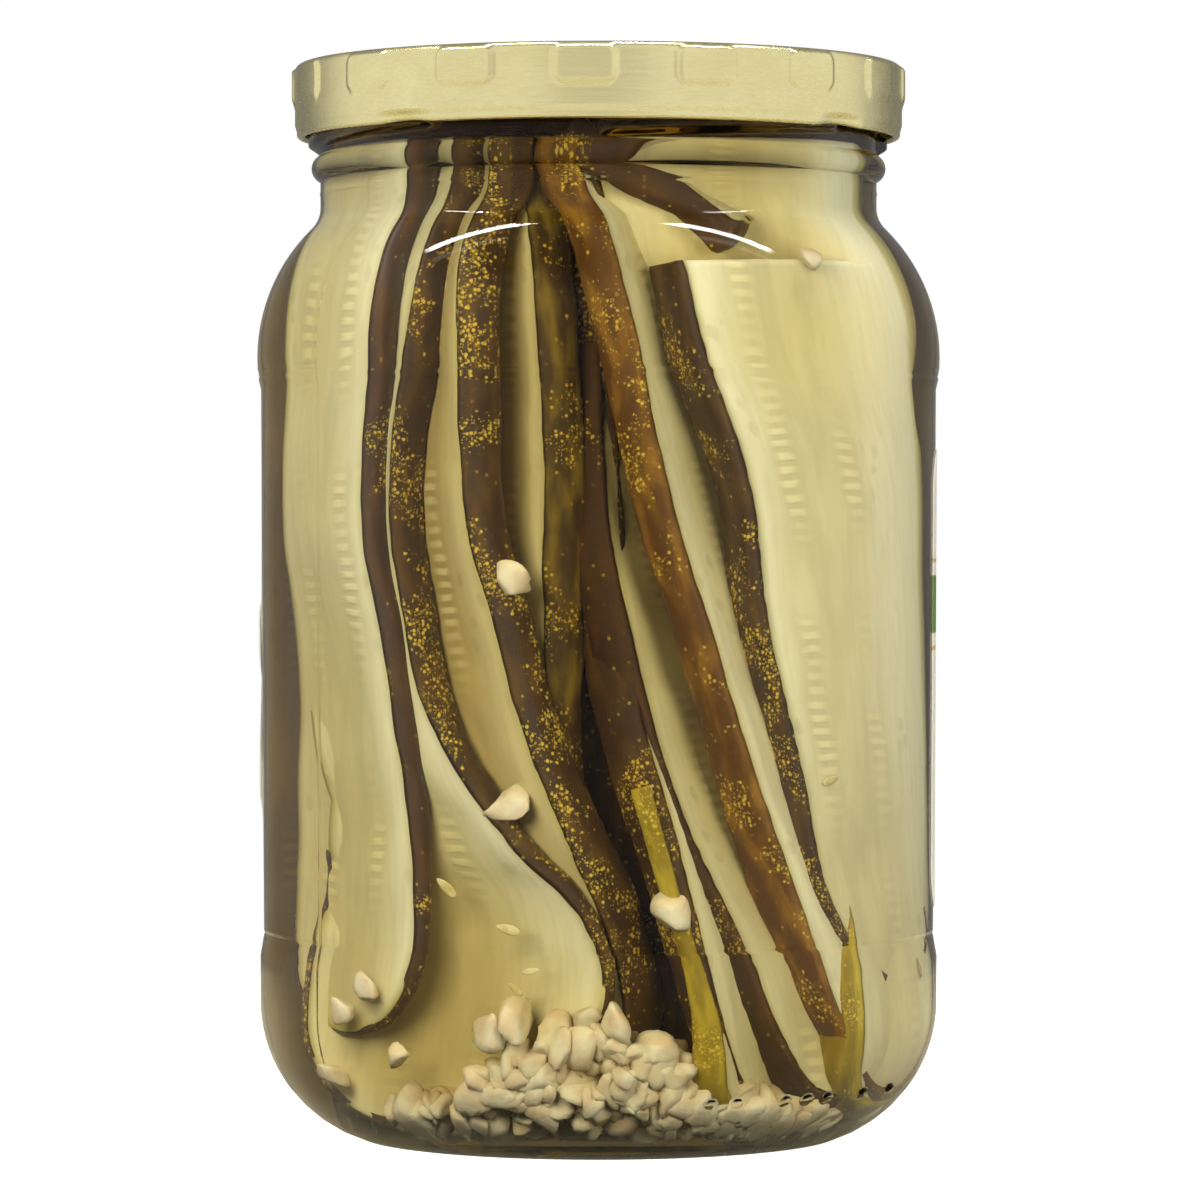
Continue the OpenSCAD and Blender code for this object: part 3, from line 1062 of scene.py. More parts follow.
@dataclass
class Cap:
    """The drawn metal cap: sunk middle, raised button, grip pads, rolled edge and crimps."""

    low: float
    high: float
    skirt_r: float = 40.5
    sheet: float = 0.5
    top_round: float = 0.9
    curl_r: float = 0.55
    curl_in: float = 0.25
    panel_r: float = 31.0
    sink: float = 0.8
    button_r: float = 12.0
    pad_count: int = 16
    pad_angle: float = 11.5
    pad_out: float = 0.42
    pad_first: float = -2.5
    pad_low: float = 4.0
    crimp_first: float = -38.6
    crimp_count: int = 4
    crimp_angle: float = 7.0
    crimp_deep: float = 0.6
    crimp_high: float = 2.0
    crimp_lift: float = 0.35
    pad_round: float = 1.1
    oval: float = 0.04
    columns: int = 720

    def outline(self) -> np.ndarray:
        """Outline of the sheet.

        Returns:
            Radius and height, from the middle of the top round the edge to the middle underneath.
        """
        sunk = self.high - self.sink
        curl_c = self.skirt_r - self.curl_in - self.curl_r
        curl_z = self.low + self.curl_r
        skirt_z = curl_z + 2.2 * self.curl_r
        corner_r = self.skirt_r - self.top_round
        inner = self.skirt_r - self.sheet
        under = self.high - self.sheet
        outside = np.concatenate([
            line((AXIS_GAP, sunk + self.sink / 2), (self.button_r - 0.3, sunk + self.sink / 2), 6),
            line((self.button_r, sunk + self.sink * 0.45), (self.button_r + self.sink, sunk), 4),
            line((self.button_r + self.sink + 0.3, sunk), (self.panel_r - 0.3, sunk), 8),
            line((self.panel_r, sunk + 0.05), (self.panel_r + self.sink, self.high), 5),
            line((self.panel_r + self.sink + 0.3, self.high), (corner_r, self.high), 5),
            arc(corner_r, self.high - self.top_round, self.top_round, 90, 0, 9),
            line((self.skirt_r, self.high - self.top_round - 0.2), (self.skirt_r, skirt_z), 26),
            line((self.skirt_r, skirt_z), (curl_c + self.curl_r, curl_z + 0.3), 4),
        ])
        inside = np.concatenate([
            arc(curl_c, curl_z, self.curl_r, 20, -200, 12),
            line((inner - 0.05, curl_z + 1.2), (inner, under - 0.6), 14),
            line((inner - 0.2, under - 0.1), (self.panel_r + self.sink, under), 4),
            line((self.panel_r, sunk - self.sheet), (AXIS_GAP, sunk - self.sheet), 8),
        ])
        return np.concatenate([outside, inside])

    def build(self) -> None:
        """Makes the cap: pads are soft-edged fields of angle and height, crimps press the edge in."""
        angles = np.linspace(0, TURN, self.columns, endpoint=False)
        outline = self.outline()
        radius, height = outline[:, :1], outline[:, 1:]
        first = self.pad_first + FRONT
        along = abs(turned(angles[None] * self.pad_count, first * self.pad_count)) / self.pad_count
        round_off = self.pad_round * smooth(abs(height - (self.low + self.high + self.pad_low) / 2), 1.2, 2.8)
        across = smooth(along, self.pad_angle / 2 - round_off + 0.2, self.pad_angle / 2 - round_off - 0.5)
        upright = smooth(height, self.low + self.pad_low - 0.4, self.low + self.pad_low + 1.5)
        upright = upright * smooth(height, self.high - 0.1, self.high - self.top_round)
        out = self.pad_out * across * upright * smooth(radius, self.skirt_r - 1.2, self.skirt_r - 0.5)
        ring = TURN / self.crimp_count
        off = abs((angles[None] - self.crimp_first - FRONT + ring / 2) % ring - ring / 2) / self.crimp_angle
        bowl = np.clip(1 - off**2, 0, 1) ** 1.5
        deep = bowl * smooth(height, self.low + self.crimp_high, self.low + 0.3)
        shape = np.repeat(outline[:, None], len(angles), 1)
        shape[..., 0] += out - self.crimp_deep * deep
        shape[..., 1] += self.crimp_lift * deep
        shape[..., 0] += self.oval * np.sin(np.radians(angles * 3))[None] * smooth(radius, 30, 40)
        surface = Surface()
        surface.tube(revolve(shape, angles))
        surface.piece("screw_cap", "cap_metal", [GoldLacquer().material()], "cap")


@dataclass
class Label:
    """The paper label, wrapped round the back, with its left-hand edge lifting."""

    low: float
    high: float
    inner_low: float = 44.65
    inner_high: float = 44.99
    paper: float = 0.15
    first: float = -11.0
    sweep: float = 190.0
    corner: float = 6.0
    lift: float = 0.45
    lift_reach: float = 3.0
    lift_heights: tuple[float, float] = (66.6, 47.7)
    lift_half: float = 4.6
    band: tuple[float, float] = (67.0, 74.6)
    columns: int = 200
    rows: int = 60

    def build(self) -> None:
        """Makes the sheet: each ring is its upright section, shorter within the rounded corners."""
        even = np.linspace(0, 1, self.columns)
        near = even[:20] ** 2 * 8 * even[19]
        share = np.unique(np.concatenate([even, near, 1 - near]))
        share = share[(share >= 0) & (share <= 1)]
        radius = (self.inner_low + self.inner_high) / 2
        to_edge = np.minimum(share, 1 - share) * np.radians(self.sweep) * radius
        cut = np.clip(self.corner - to_edge, 0, self.corner)
        shrink = (self.corner - np.sqrt(self.corner**2 - cut**2))[:, None]
        up = np.linspace(0, 1, self.rows)[None]
        z = self.low + shrink + (self.high - self.low - 2 * shrink) * up
        wall = self.inner_low + (self.inner_high - self.inner_low) * (z - self.low) / (self.high - self.low)
        far = np.radians(self.sweep) * radius * (1 - share)[:, None]
        loose = sum(np.exp(-(((z - middle) / self.lift_half) ** 4)) for middle in self.lift_heights)
        wall = wall + self.lift * np.exp(-far / self.lift_reach) * loose
        ring_r = np.concatenate([wall, (wall + self.paper)[:, ::-1]], 1)
        ring_z = np.concatenate([z, z[:, ::-1]], 1)
        a = np.radians(self.first + self.sweep * share)[:, None]
        surface = Surface()
        lay = np.stack([far + 0 * ring_z, ring_z, 0 * ring_z], -1)
        surface.tube(np.stack([ring_r * np.cos(a), ring_r * np.sin(a), ring_z], -1), lay=lay)
        surface.piece("paper_label", "label_paper", [Paper(*self.band).material()], "label")


# ---------------------------------------------------------------- what is sunk in the brine


@dataclass(frozen=True)
class Slab:
    """A slice laid out station by station, with one row for each."""

    middle: np.ndarray
    back: np.ndarray
    face: np.ndarray
    half: np.ndarray
    thick: np.ndarray


@dataclass
class Slice:
    """A cucumber cut lengthwise: a slab of flesh with a band of peel round its edge.

    Its front edge follows a curve; from there the slab reaches back in a level direction that may
    turn on the way down. The lower end is rounded and the upper end is cut.
    """

    name: str
    tone: PeelTone
    edge: tuple[tuple[float, float, float], ...]
    lean: tuple[float, ...]
    width: tuple[float, ...]
    thick: float = 5.2
    thin: float = 0.75
    end: float = 17.0
    seed: int = 1
    peel: float = 0.75
    peel_back: float = 1.0
    heart: float = 0.0
    flesh: FleshTone = FleshTone.PALE
    rows: int = 110
    across: int = 34
    lean_wave: Span = (0.03, 55.0)
    width_wave: Span = (0.012, 36.0)
    face_wave: Span = (0.16, 12.0)
    face_round: float = 0.08
    edge_waves: tuple[Span, Span] = ((0.03, 14.0), (0.015, 3.0))
    peel_wave: Span = (0.10, 4.0)
    peel_out: float = 0.55
    peel_in: float = 0.12
    flesh_gap: float = 0.75
    peel_gap: float = 0.25

    def stations(self) -> tuple[np.ndarray, np.ndarray]:
        """Shares of the way down, and the share of the full width there.

        The upper part is even and full; over the rounded end both follow a quarter of an ellipse,
        the way as a sine and the width as a cosine.

        Returns:
            Ways and width shares.
        """
        start = 1 - self.end / step_lengths(spline(self.edge, np.linspace(0, 1, 60))).sum()
        turn = np.linspace(0, np.pi / 2, 26)[1:-1]
        way = np.concatenate([np.linspace(0, start, self.rows), start + (1 - start) * np.sin(turn)])
        full = np.concatenate([np.ones(self.rows), np.cos(turn) ** 0.85])
        return way, full

    def slab(self) -> Slab:
        """Lays the slice out.

        The back direction leans as given on the way down, and the face stands square to it and to
        the middle line.

        Returns:
            Middle line, backward and face directions, half widths and half thicknesses.
        """
        way, full = self.stations()
        edge = spline(self.edge, way)
        lean = np.radians(np.interp(way, np.linspace(0, 1, len(self.lean)), self.lean))
        lean = lean + wavy(self.lean_wave, self.seed + 40, edge[:, 2])
        back = np.stack([np.cos(lean), np.sin(lean), lean * 0], 1)
        width = np.interp(way, np.linspace(0, 1, len(self.width)), self.width)
        middle = edge + back * width[:, None] / 2
        face = unit(np.cross(unit(np.gradient(middle, axis=0)), back))
        half = (width / 2 * full)[:, None]
        half = half * (1 + wavy(self.width_wave, self.seed, middle[:, 2]))[:, None]
        thick = (self.thick / 2 * (1 - (1 - self.thin) * smooth(way, 0.5, 1.0)))[:, None]
        return Slab(middle, back, face, half, thick)

    def build(self, glass: Glass, finishes: dict[Enum, bpy.types.Material]) -> None:
        """Makes the flesh and the peel.

        Args:
            glass: the jar, whose wall the slice may not cut.
            finishes: finish of each tone of flesh and of peel.
        """
        slab = self.slab()
        rings, lay = self.flesh_rings(slab)
        surface = Surface()
        surface.tube(glass.keep_in(rings, self.flesh_gap), lay=lay)
        surface.piece(f"{self.name}_flesh", "pickle_flesh", [finishes[self.flesh]])
        rings, lay = self.peel_rings(slab)
        surface = Surface()
        surface.tube(glass.keep_in(rings, self.peel_gap), lay=lay)
        surface.piece(f"{self.name}_peel", "pickle_peel", [finishes[self.tone]])

    def flesh_rings(self, slab: Slab) -> tuple[np.ndarray, np.ndarray]:
        """The flesh: over one face, round the back edge, and back over the other face.

        Args:
            slab: the slice laid out.

        Returns:
            Rings, and the pattern's coordinates on them.
        """
        along = run_along(slab.middle)
        v = np.linspace(-1, 1, self.across)[None]
        tuck = np.maximum(slab.half - self.peel * 0.6, 0.3) * v
        thick = slab.thick * (1 - self.face_round * v**6)
        thick = thick + wavy(self.face_wave, self.seed + 7, along + 0 * v, tuck)
        reach = np.concatenate([tuck, tuck[:, ::-1]], 1)
        rise = np.concatenate([thick, -thick[:, ::-1]], 1)
        rings = slab.back[:, None] * reach[..., None] + slab.face[:, None] * rise[..., None]
        to_rind = np.minimum(slab.half - abs(reach), along[-1] - along + 0.4)
        return slab.middle[:, None] + rings, np.stack([along + 0 * reach, reach - self.heart, to_rind], -1)

    def peel_rings(self, slab: Slab) -> tuple[np.ndarray, np.ndarray]:
        """The peel: a band carried down the front edge, round the lower end and up the back edge.

        Args:
            slab: the slice laid out.

        Returns:
            Rings, and the pattern's coordinates on them.
        """
        rear = int(len(slab.middle) * self.peel_back)
        side = slab.back * slab.half
        path = np.concatenate([slab.middle - side, (slab.middle + side)[::-1][:rear]])
        centre, face, thick = (
            np.concatenate([part, part[::-1][:rear]]) for part in (slab.middle, slab.face, slab.thick)
        )
        out = unit(np.cross(unit(np.gradient(path, axis=0)), face))
        out = out * np.sign(np.sum(out * (path - centre), axis=1, keepdims=True) + TINY)
        run = run_along(path)
        n = np.linspace(-1, 1, 11)[None]
        broad, fine = self.edge_waves
        rise = thick * (1 + wavy(broad, self.seed + 11, run) + wavy(fine, self.seed + 13, run)) * n
        bulge = self.peel_out * (1 - n**2) - self.peel_in
        bulge = bulge + wavy(self.peel_wave, self.seed + 17, run + 0 * n, rise)
        rise = np.concatenate([rise, rise[:, ::-1]], 1)
        bulge = np.concatenate([bulge, bulge[:, ::-1] - self.peel], 1)
        rings = path[:, None] + out[:, None] * bulge[..., None] + face[:, None] * rise[..., None]
        return rings, np.stack([run + 0 * rise, rise, 0 * rise], -1)


def front_slices() -> list[Slice]:
    """The slices that stand at the front of the jar and behind it, from left to right.

    Returns:
        The slices.
    """
    return [
        Slice(
            "slice_left", PeelTone.DARK,
            ((-21.1, -22.6, 131), (-21.4, -23.4, 125.6), (-24.1, -26, 116.7), (-25.6, -29.2, 111),
             (-26.6, -31, 103.3), (-27.5, -30, 91), (-27.4, -30, 79.3), (-25.0, -32, 67),
             (-23.1, -33.3, 53), (-21.6, -34.2, 40), (-21.4, -34.2, 31), (-21.8, -34, 24),
             (-22.2, -33, 16)),
            (112, 112, 111, 111, 114, 118, 119), (26, 25, 22.5, 22.5, 25, 28, 28.5), thick=4.6, thin=0.42,
            end=13.0, seed=2, peel_back=0.2,
        ),
        Slice(
            "slice_low_left", PeelTone.SPECKLED,
            ((-15.1, -25.3, 131), (-15.4, -26, 125.5), (-18.2, -28.2, 116.2), (-20, -31, 110),
             (-21.3, -31.8, 103), (-22.8, -30.7, 91), (-22.8, -30.4, 79.3), (-21.7, -31.6, 71),
             (-19.5, -33.8, 59.3), (-17, -36, 53), (-12.1, -38.3, 45.3), (-8.2, -39.4, 40), (-3, -40, 35),
             (0.3, -40, 29.6), (1.6, -39.6, 25), (2, -38.6, 17), (1.5, -36, 6)),
            (104, 106, 110, 116, 130, 146, 148), (22, 24, 24, 24, 28, 42, 50), thick=4.8, thin=0.2,
            end=21.0, seed=3, peel_back=0.3,
        ),
        Slice(
            "slice_middle_left", PeelTone.SPECKLED,
            ((-10.4, -28.4, 131), (-10.5, -28.6, 125.3), (-13.5, -31.7, 116.4), (-14.5, -35.5, 111),
             (-14.5, -37, 103), (-14.3, -37.2, 91), (-13.2, -37.9, 79.3), (-10.9, -38.7, 71),
             (-7.8, -39.3, 59.5), (-5.7, -39.6, 53), (-2.6, -39.4, 45.3), (-0.3, -38.8, 40), (2, -37.8, 35),
             (4.4, -35.8, 27), (6.1, -33.5, 18), (6.7, -31, 7)),
            (98, 100, 112, 122, 134, 142, 146), (24, 26, 28, 30, 31, 32, 31), thick=5.6, thin=1.35, seed=4,
            # darker flesh: painted shade for a slice deep between the bands
            flesh=FleshTone.DEEP,
        ),
        Slice(
            "slice_middle", PeelTone.OLIVE,
            ((-6.9, -25.5, 131), (-6, -27, 120), (-4.8, -33, 108), (-4, -34.1, 94), (-3.9, -34.1, 72),
             (-3.4, -34, 46), (-1, -33, 30), (1, -31, 9)),
            (110, 118, 124, 124), (24, 27, 28, 28), thick=5.2, seed=5,
        ),
        Slice(
            "slice_centre", PeelTone.SPECKLED,
            ((-1.5, -26, 120), (-1.2, -30, 100), (-0.3, -30.8, 84), (0.2, -33, 72), (1.8, -36, 59),
             (4.3, -37.6, 49), (7.3, -38, 39), (10.4, -37.6, 27), (12.6, -36.5, 17), (14, -33, 6)),
            (70, 66, 62, 60), (26, 28, 28, 26), thick=6.2, seed=6,
        ),
        Slice(
            "slice_amber", PeelTone.AMBER,
            ((-5.6, -29.5, 131), (-4.4, -30.4, 125), (-1.2, -34.4, 116.5), (0.3, -37, 111),
             (2.3, -38.4, 103.4), (4.8, -38.8, 91), (7.6, -38.2, 79.3), (10.3, -37.6, 70.8),
             (13.6, -36.4, 59), (16.9, -34.8, 47), (20.9, -32.2, 35), (24.6, -28.5, 22.8), (27, -25, 8)),
            (66, 60, 58, 58), (24, 28, 30, 28), thick=5.2, thin=1.6, seed=7,
        ),
        Slice(
            "slice_right", PeelTone.SPECKLED,
            ((8, -35.6, 113.4), (10.2, -37.4, 103.4), (12.6, -37.4, 97), (14.8, -36.7, 91),
             (16.5, -35.9, 84), (18, -35.1, 72), (20.8, -33.4, 59), (23.4, -31.7, 47), (25.6, -29.9, 36),
             (27.8, -27.8, 29), (29.4, -26, 21.5)),
            (38, 42, 47, 54, 64), (37, 37, 35, 31, 26), thick=6.8, thin=0.55, end=14.0, seed=8,
            peel_back=0.35, heart=-5.0,
        ),
        Slice(
            "slice_top_right", PeelTone.DARK,
            ((-4, -30, 131.5), (0.2, -30.8, 128.9), (5.1, -30.6, 125.5), (9.4, -30, 122.3),
             (12.6, -30.6, 119.3), (16, -31.8, 116)),
            (84, 82), (14, 14), thick=5.4, thin=1.0, end=1.2, seed=9, peel_back=0.0,
        ),
        Slice(
            "slice_top_pale", PeelTone.OLIVE,
            ((-2, -26, 131), (-1, -27, 122), (1, -30, 112), (3, -31, 98), (6, -30, 84)),
            (20, 24, 32), (43, 42, 36), thick=5.0, end=6.0, seed=11, peel_back=0.0,
        ),
        Slice(
            "slice_low_right", PeelTone.DARK,
            ((-2.4, -30, 104), (-2, -32, 91), (-1.2, -33.5, 79), (0.6, -35, 70), (3, -36, 59),
             (6.4, -35.8, 47), (11, -34.6, 35), (16, -32.4, 23), (19.5, -29.8, 8)),
            (58, 56, 56), (26, 28, 26), thick=5.6, thin=1.3, seed=10,
        ),
        Slice(
            "slice_sliver", PeelTone.YELLOW,
            ((5, -39.6, 48), (6.1, -39.6, 44), (8.2, -39.2, 36.3), (10.8, -38.6, 27.5), (12.9, -37.8, 18.6),
             (13.6, -36, 8)),
            (76, 74), (9, 10), thick=2.4, thin=1.9, end=4.0, seed=17,
        ),
        Slice(
            "slice_core", PeelTone.AMBER,
            ((-3, -17, 128), (-2, -20, 100), (0, -22, 70), (3, -23, 40), (5, -23, 6)),
            (92, 88), (14, 14), thick=19.0, thin=1.0, end=5.0, seed=14,
        ),
        Slice(
            "slice_corner", PeelTone.YELLOW,
            ((17, -20, 96), (21, -23, 70), (25, -24.5, 44), (27.5, -25.5, 29), (30, -27, 20), (30, -24, 7)),
            (84, 80), (20, 20), thick=8.0, thin=1.0, end=6.0, seed=15,
        ),
    ]


BACK_SHARE = 0.885
BACK_TURN = 56
BACK_AZIMUTHS = (146, 168, 192, 214)
BACK_MIDDLE = 170


def back_slices(glass: Glass) -> list[Slice]:
    """The slices that stand round the back, their edges near the glass.

    Args:
        glass: the jar.

    Returns:
        The slices.
    """
    draw = np.random.default_rng(12)
    heights = np.array([130, 122, 112, 90, 65, 40, 22, 8], float)
    tones = (PeelTone.SPECKLED, PeelTone.DARK, PeelTone.AMBER, PeelTone.OLIVE)
    made = []
    for number, (side, name) in enumerate(((-1, "slice_back_left"), (1, "slice_back_right"))):
        edge = tuple((side * glass.room(np.array(z)) * BACK_SHARE, 7.0, z) for z in heights)
        turn = 90 + side * BACK_TURN
        made.append(Slice(
            name, PeelTone.YELLOW, edge, (turn, turn), (26, 30, 30, 28), thick=5.0, end=12.0,
            seed=17 + 2 * number, rows=80, peel_back=0.5,
        ))
    for number, azimuth in enumerate(BACK_AZIMUTHS):
        slant = draw.uniform(-7, 7)
        share = (heights - heights.mean()) / 60
        azimuths = azimuth + slant * share + draw.uniform(-3, 3, len(heights))
        radius = glass.room(heights) - draw.uniform(2.0, 4.5)
        edge = tuple(zip(*ring_point(radius, azimuths, heights)))
        turn = azimuth + FRONT + TURN / 2 + draw.uniform(16, 34) * (1 if azimuth < BACK_MIDDLE else -1)
        made.append(Slice(
            f"slice_back_{number + 1}", tones[number], edge, (turn, turn + draw.uniform(-8, 8)),
            tuple(draw.uniform(19, 25, 3)), thick=draw.uniform(4.6, 5.6), end=14.0, seed=20 + number, rows=80,
        ))
    return made


@dataclass
class Chopped:
    """Chopped garlic: balls cut by flat planes, some against the glass and many in a heap."""

    glass: Glass
    seed: int = 5
    rings: int = 13
    columns: int = 20
    cuts: int = 10
    heap_count: int = 300
    heap_middle: float = 6.0
    heap_spread: float = 24.36
    heap_rise: float = 1.6
    crest_high: float = 11.5
    crest_azimuth: float = -1.0
    crest_half: float = 22.0
    heap_deep: float = 9.0
    sizes: Span = (1.9, 3.3)
    cut_span: Span = (0.42, 0.85)
    stretch: Span = (0.65, 1.35)
    sharp: float = 44.0
    gap: float = 0.35
    pressed: float = 0.6

    def bit(self, centre: Sequence[float], size: float, draw: np.random.Generator) -> np.ndarray:
        """One chopped bit, kept clear of the glass.

        The distance from its centre in a direction is the softened least of a ball's radius and of
        the distances to planes of random tilt.

        Args:
            centre: its place.
            size: its half width.
            draw: source of random numbers.

        Returns:
            Rings of points.
        """
        polar = np.linspace(0.12, np.pi - 0.12, self.rings)[:, None]
        round_ = np.linspace(0, 2 * np.pi, self.columns, endpoint=False)[None]
        girth = np.sin(polar)
        direction = np.stack([girth * np.cos(round_), girth * np.sin(round_), np.cos(polar) + 0 * round_], -1)
        tilt = unit(draw.normal(size=(self.cuts, 3)))
        facing = np.maximum(direction @ tilt.T, 0.05)
        plane = draw.uniform(*self.cut_span, self.cuts) / facing
        reach = (np.sum(plane**-self.sharp, axis=-1) + 1.0) ** (-1 / self.sharp)
        shape = direction * reach[..., None] * draw.uniform(*self.stretch, 3) * size
        axes, _ = np.linalg.qr(draw.normal(size=(3, 3)))
        return self.glass.keep_in(shape @ axes + np.asarray(centre), self.gap, self.pressed)

    def build(self) -> None:
        """Makes the single bits and the heap along the front of the floor."""
        draw = np.random.default_rng(self.seed)
        surface = Surface()
        single = (
            ((-10.8, -39.0, 74.0), 3.2), ((-11.4, -38.8, 45.7), 2.9), ((9.2, -39.0, 32.3), 3.3),
            ((-28.4, -28.9, 21.6), 3.0), ((-31.4, -25.4, 18.8), 2.5), ((-13.2, -37.4, 17.2), 3.6),
            ((-10.2, -37.8, 18.6), 3.4), ((-24.6, -31.4, 13.9), 2.0), ((-32.6, -20.7, 11.2), 2.4),
            ((26.3, -27.2, 114.1), 2.0), ((-4.0, 39.6, 84.0), 2.2), ((17.0, 36.0, 52.0), 2.0),
            ((38.0, 15.0, 71.0), 2.1), ((-36.0, 17.0, 33.0), 2.3), ((-22.0, 34.0, 104.0), 1.9),
        )
        for centre, size in single:
            surface.tube(self.bit(centre, size, draw))
        for _ in range(self.heap_count):
            azimuth = self.heap_middle + self.heap_spread * draw.normal()
            crest = self.crest_high * np.exp(-(((azimuth - self.crest_azimuth) / self.crest_half) ** 2))
            z = self.glass.base_t + self.heap_rise + crest * draw.uniform(0, 1) ** 1.4
            size = draw.uniform(*self.sizes)
            z = z + 0.5 * size
            inward = size + 0.4 + self.heap_deep * draw.uniform(0, 1) ** 2
            centre = ring_point(self.glass.room(np.array(z)) - inward, azimuth, z)
            surface.tube(self.bit(centre, size, draw))
        garlic = Matt("garlic", paint(200, 191, 164), paint(188, 168, 136), 3.0)
        surface.piece("garlic_bits", "garlic", [garlic.material()])


@dataclass
class Seeds:
    """Loose cucumber seeds: flat ovals with one pointed end."""

    glass: Glass
    seed: int = 9
    count: int = 12
    length: float = 4.6
    width: float = 1.7
    thick: float = 0.7
    sizes: Span = (0.5, 0.85)
    heights: Span = (7.0, 60.0)
    gap: float = 0.3
    placed: tuple[Colour, ...] = (
        (-19.0, -37.0, 35.2), (-11.3, -40.0, 30.1), (-8.4, -40.4, 24.6), (-10.3, -40.1, 22.5)
    )

    def build(self) -> None:
        """Makes the seeds: half widths follow the sine of the way along, skewed to one end."""
        draw = np.random.default_rng(self.seed)
        surface = Surface()
        way = np.linspace(0.03, 0.97, 12)[:, None]
        turn = np.linspace(0, 2 * np.pi, 12, endpoint=False)[None]
        girth = np.sin(np.pi * way**0.8) ** 0.7
        shape = np.stack([
            (way - 0.5) * self.length + 0 * turn,
            girth * np.cos(turn) * self.width / 2,
            girth * np.sin(turn) * self.thick / 2,
        ], -1)
        up = np.array([0, 0, 1])
        for number in range(self.count):
            size = draw.uniform(*self.sizes)
            azimuth, z = draw.uniform(-TURN / 2, TURN / 2), draw.uniform(*self.heights)
            centre = ring_point(self.glass.room(np.array(z)) - 1.0, azimuth, z)
            if number < len(self.placed):
                centre = self.placed[number]
            b = np.arctan2(centre[1], centre[0])
            out = np.array([np.cos(b), np.sin(b), 0])
            spin = draw.uniform(0, np.pi)
            long_ = np.cos(spin) * np.array([-np.sin(b), np.cos(b), 0]) + np.sin(spin) * up
            axes = np.stack([long_, np.cross(out, long_), out])
            surface.tube(self.glass.keep_in(shape * size @ axes + np.asarray(centre), self.gap))
        finish = Matt("seed", paint(196, 184, 138), paint(170, 152, 96), 1.5)
        surface.piece("loose_seeds", "seed", [finish.material()])


# ---------------------------------------------------------------- studio


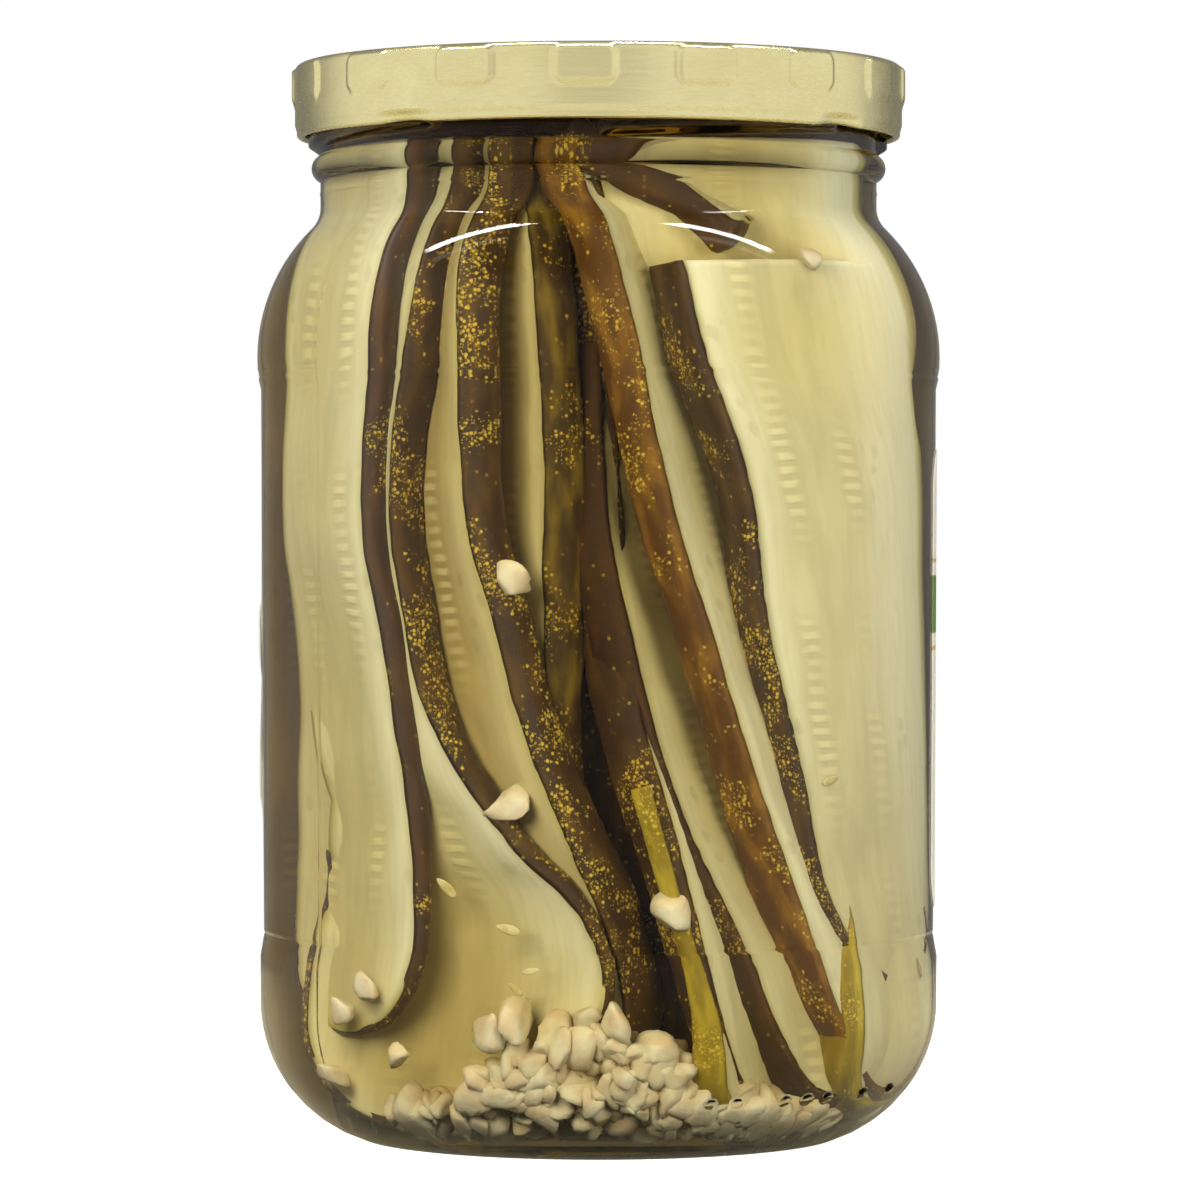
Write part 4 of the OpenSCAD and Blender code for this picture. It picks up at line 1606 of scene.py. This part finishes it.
@dataclass
class Studio:
    """Plain pale floor, soft white surroundings that are darker overhead and behind, and the camera."""

    distance: float = 0.7508
    eye: float = 0.0798
    lens: float = 168.6
    shift: tuple[float, float] = (0.00125, -0.0533)
    floor_r: float = 0.42
    floor_fade: float = 0.16
    floor_low: float = 0.00005
    floor_columns: int = 72
    floor_pale: Colour = (0.8, 0.8, 0.8)
    near: float = 0.01
    aim: Colour = (0, 0, 0.07)
    above: Span = (0.55, 0.85)
    above_dim: float = 0.7
    behind: Span = (0.25, 0.85)
    behind_dim: float = 0.78
    ahead: Span = (-0.90, -0.98)
    ahead_dim: float = 0.25
    bar_up: Span = (0.75, 0.80)
    bar_wide: Span = (0.030, 0.018)
    bar_long: Span = (0.80, 0.65)
    bar_power: float = 60.0
    floor_glow: float = 0.8
    floor_mirrored: Colour = (0.3, 0.27, 0.18)

    def place(self, name: str, data: bpy.types.ID) -> bpy.types.Object:
        """Puts data in the scene as an object."""
        thing = bpy.data.objects.new(name, data)
        bpy.context.scene.collection.objects.link(thing)
        return thing

    def camera(self) -> None:
        """Puts the camera level with the middle of the jar."""
        data = bpy.data.cameras.new("camera")
        data.lens = self.lens
        data.shift_x, data.shift_y = self.shift
        data.clip_start = self.near
        camera = self.place("camera", data)
        camera.location = (0, -self.distance, self.eye)
        camera.rotation_euler = (np.pi / 2, 0, 0)
        bpy.context.scene.camera = camera

    def floor_finish(self) -> bpy.types.Material:
        """Pale and faintly glowing, duller in the jar's gloss, and gone towards the rim.

        Returns:
            The material.
        """
        shader = Shader("floor")
        parts = shader.node("ShaderNodeVectorMath", {"operation": "LENGTH"}, {0: shader.place()})
        fade = Value(shader, parts.outputs["Value"]).ramp(self.floor_fade / MM, self.floor_r / MM)
        pale = shader.body(
            Base_Color=self.floor_pale, Roughness=0.6, Emission_Color=WHITE, Emission_Strength=self.floor_glow
        )
        dull = shader.body(Base_Color=self.floor_mirrored, Roughness=0.6)
        gone = shader.node("ShaderNodeBsdfTransparent", {}, {}).outputs[0]
        return shader.finish(shader.blend(fade, shader.blend(shader.ray("Glossy"), pale, dull), gone))

    def floor(self) -> None:
        """A round pale floor that fades out into the white surroundings."""
        radii = np.array([MM, *np.linspace(0.02, self.floor_r, 12)])
        angles = np.linspace(0, TURN, self.floor_columns, endpoint=False)
        rings = revolve(np.stack([radii, 0 * radii - self.floor_low], -1), angles)
        grid = np.arange(rings.size // 3).reshape(-1, self.floor_columns)
        after = np.roll(grid, -1, axis=1)
        quads = np.stack([grid[:-1], grid[1:], after[1:], after[:-1]], -1).reshape(-1, 4).tolist()
        mesh = bpy.data.meshes.new("floor")
        mesh.from_pydata(rings.reshape(-1, 3).tolist(), [], [*quads, grid[0].tolist()])
        mesh.materials.append(self.floor_finish())
        floor = self.place("floor", mesh)

    def surroundings(self) -> None:
        """White in front and at the sides, dimmer overhead and behind, with a bright bar right overhead.

        The camera itself sees plain white.
        """
        shader = Shader("studio", world=True)
        bpy.context.scene.world = shader.owner
        toward = shader.node("ShaderNodeTexCoord", {}, {}).outputs["Generated"]
        parts = shader.node("ShaderNodeSeparateXYZ", {}, {0: toward})
        x, y, z = (Value(shader, socket) for socket in parts.outputs)
        above = 1 - z.ramp(*self.above) * self.above_dim
        behind = 1 - y.ramp(*self.behind) * self.behind_dim
        ahead = 1 - y.ramp(*self.ahead) * self.ahead_dim
        bar = z.ramp(*self.bar_up) * abs(y).ramp(*self.bar_wide) * abs(x).ramp(*self.bar_long)
        power = (above * behind * ahead + bar * self.bar_power).over(Value(shader, shader.ray("Camera")))
        glow = shader.node("ShaderNodeBackground", {}, {"Color": WHITE, "Strength": power}).outputs[0]
        shader.node("ShaderNodeOutputWorld", {}, {"Surface": glow})

    def lamp(self, name: str, place: Colour, size: float, power: float) -> None:
        """One soft square lamp that faces the jar and that gloss doesn't show.

        Args:
            name: name of the lamp.
            place: where it stands, in metres.
            size: its side, in metres.
            power: its power in watts.
        """
        data = bpy.data.lights.new(name, "AREA")
        data.size = size
        data.energy = power
        lamp = self.place(name, data)
        lamp.location = place
        toward = np.array(self.aim) - np.asarray(place)
        flat = np.hypot(toward[0], toward[1])
        lamp.rotation_euler = (np.pi / 2 + np.arctan2(toward[2], flat), 0, np.arctan2(-toward[0], toward[1]))
        lamp.visible_glossy = False
        lamp.visible_transmission = False
        lamp.visible_camera = False

    def build(self) -> None:
        """Makes the whole studio and the settings that clear things need."""
        self.camera()
        self.floor()
        self.surroundings()
        self.lamp("key", (-0.5, -0.9, 0.45), 0.6, 16.0)
        self.lamp("fill", (0.65, -0.75, 0.25), 0.6, 9.5)
        self.lamp("back", (0.2, 0.9, 0.45), 0.6, 7.0)
        scene = bpy.context.scene
        scene.view_settings.view_transform = "Standard"
        scene.cycles.max_bounces = 16
        scene.cycles.transmission_bounces = 16
        scene.cycles.diffuse_bounces = 3
        scene.cycles.glossy_bounces = 4
        scene.cycles.transparent_max_bounces = 24
        scene.cycles.caustics_reflective = False
        scene.cycles.caustics_refractive = False


def main() -> None:
    """Builds the jar, what it holds, and the studio."""
    logging.basicConfig(level=logging.INFO, format="%(message)s")
    (_, jar_high), (cap_low, cap_high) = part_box("jar"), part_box("cap")
    brine_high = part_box("brine")[1]
    label_low, label_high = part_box("label")
    Studio().build()
    glass = Glass(body_r=jar_high.x / MM, height=jar_high.z / MM)
    glass.build()
    glass.fill(brine_high.z / MM)
    Cap(low=cap_low.z / MM, high=cap_high.z / MM).build()
    Label(low=label_low.z / MM, high=label_high.z / MM).build()
    finishes = {tone: Peel(tone).material() for tone in PeelTone}
    finishes |= {tone: Flesh(tone).material() for tone in FleshTone}
    for piece in [*front_slices(), *back_slices(glass)]:
        piece.build(glass, finishes)
    Chopped(glass).build()
    Seeds(glass).build()


if __name__ == "__main__":
    main()
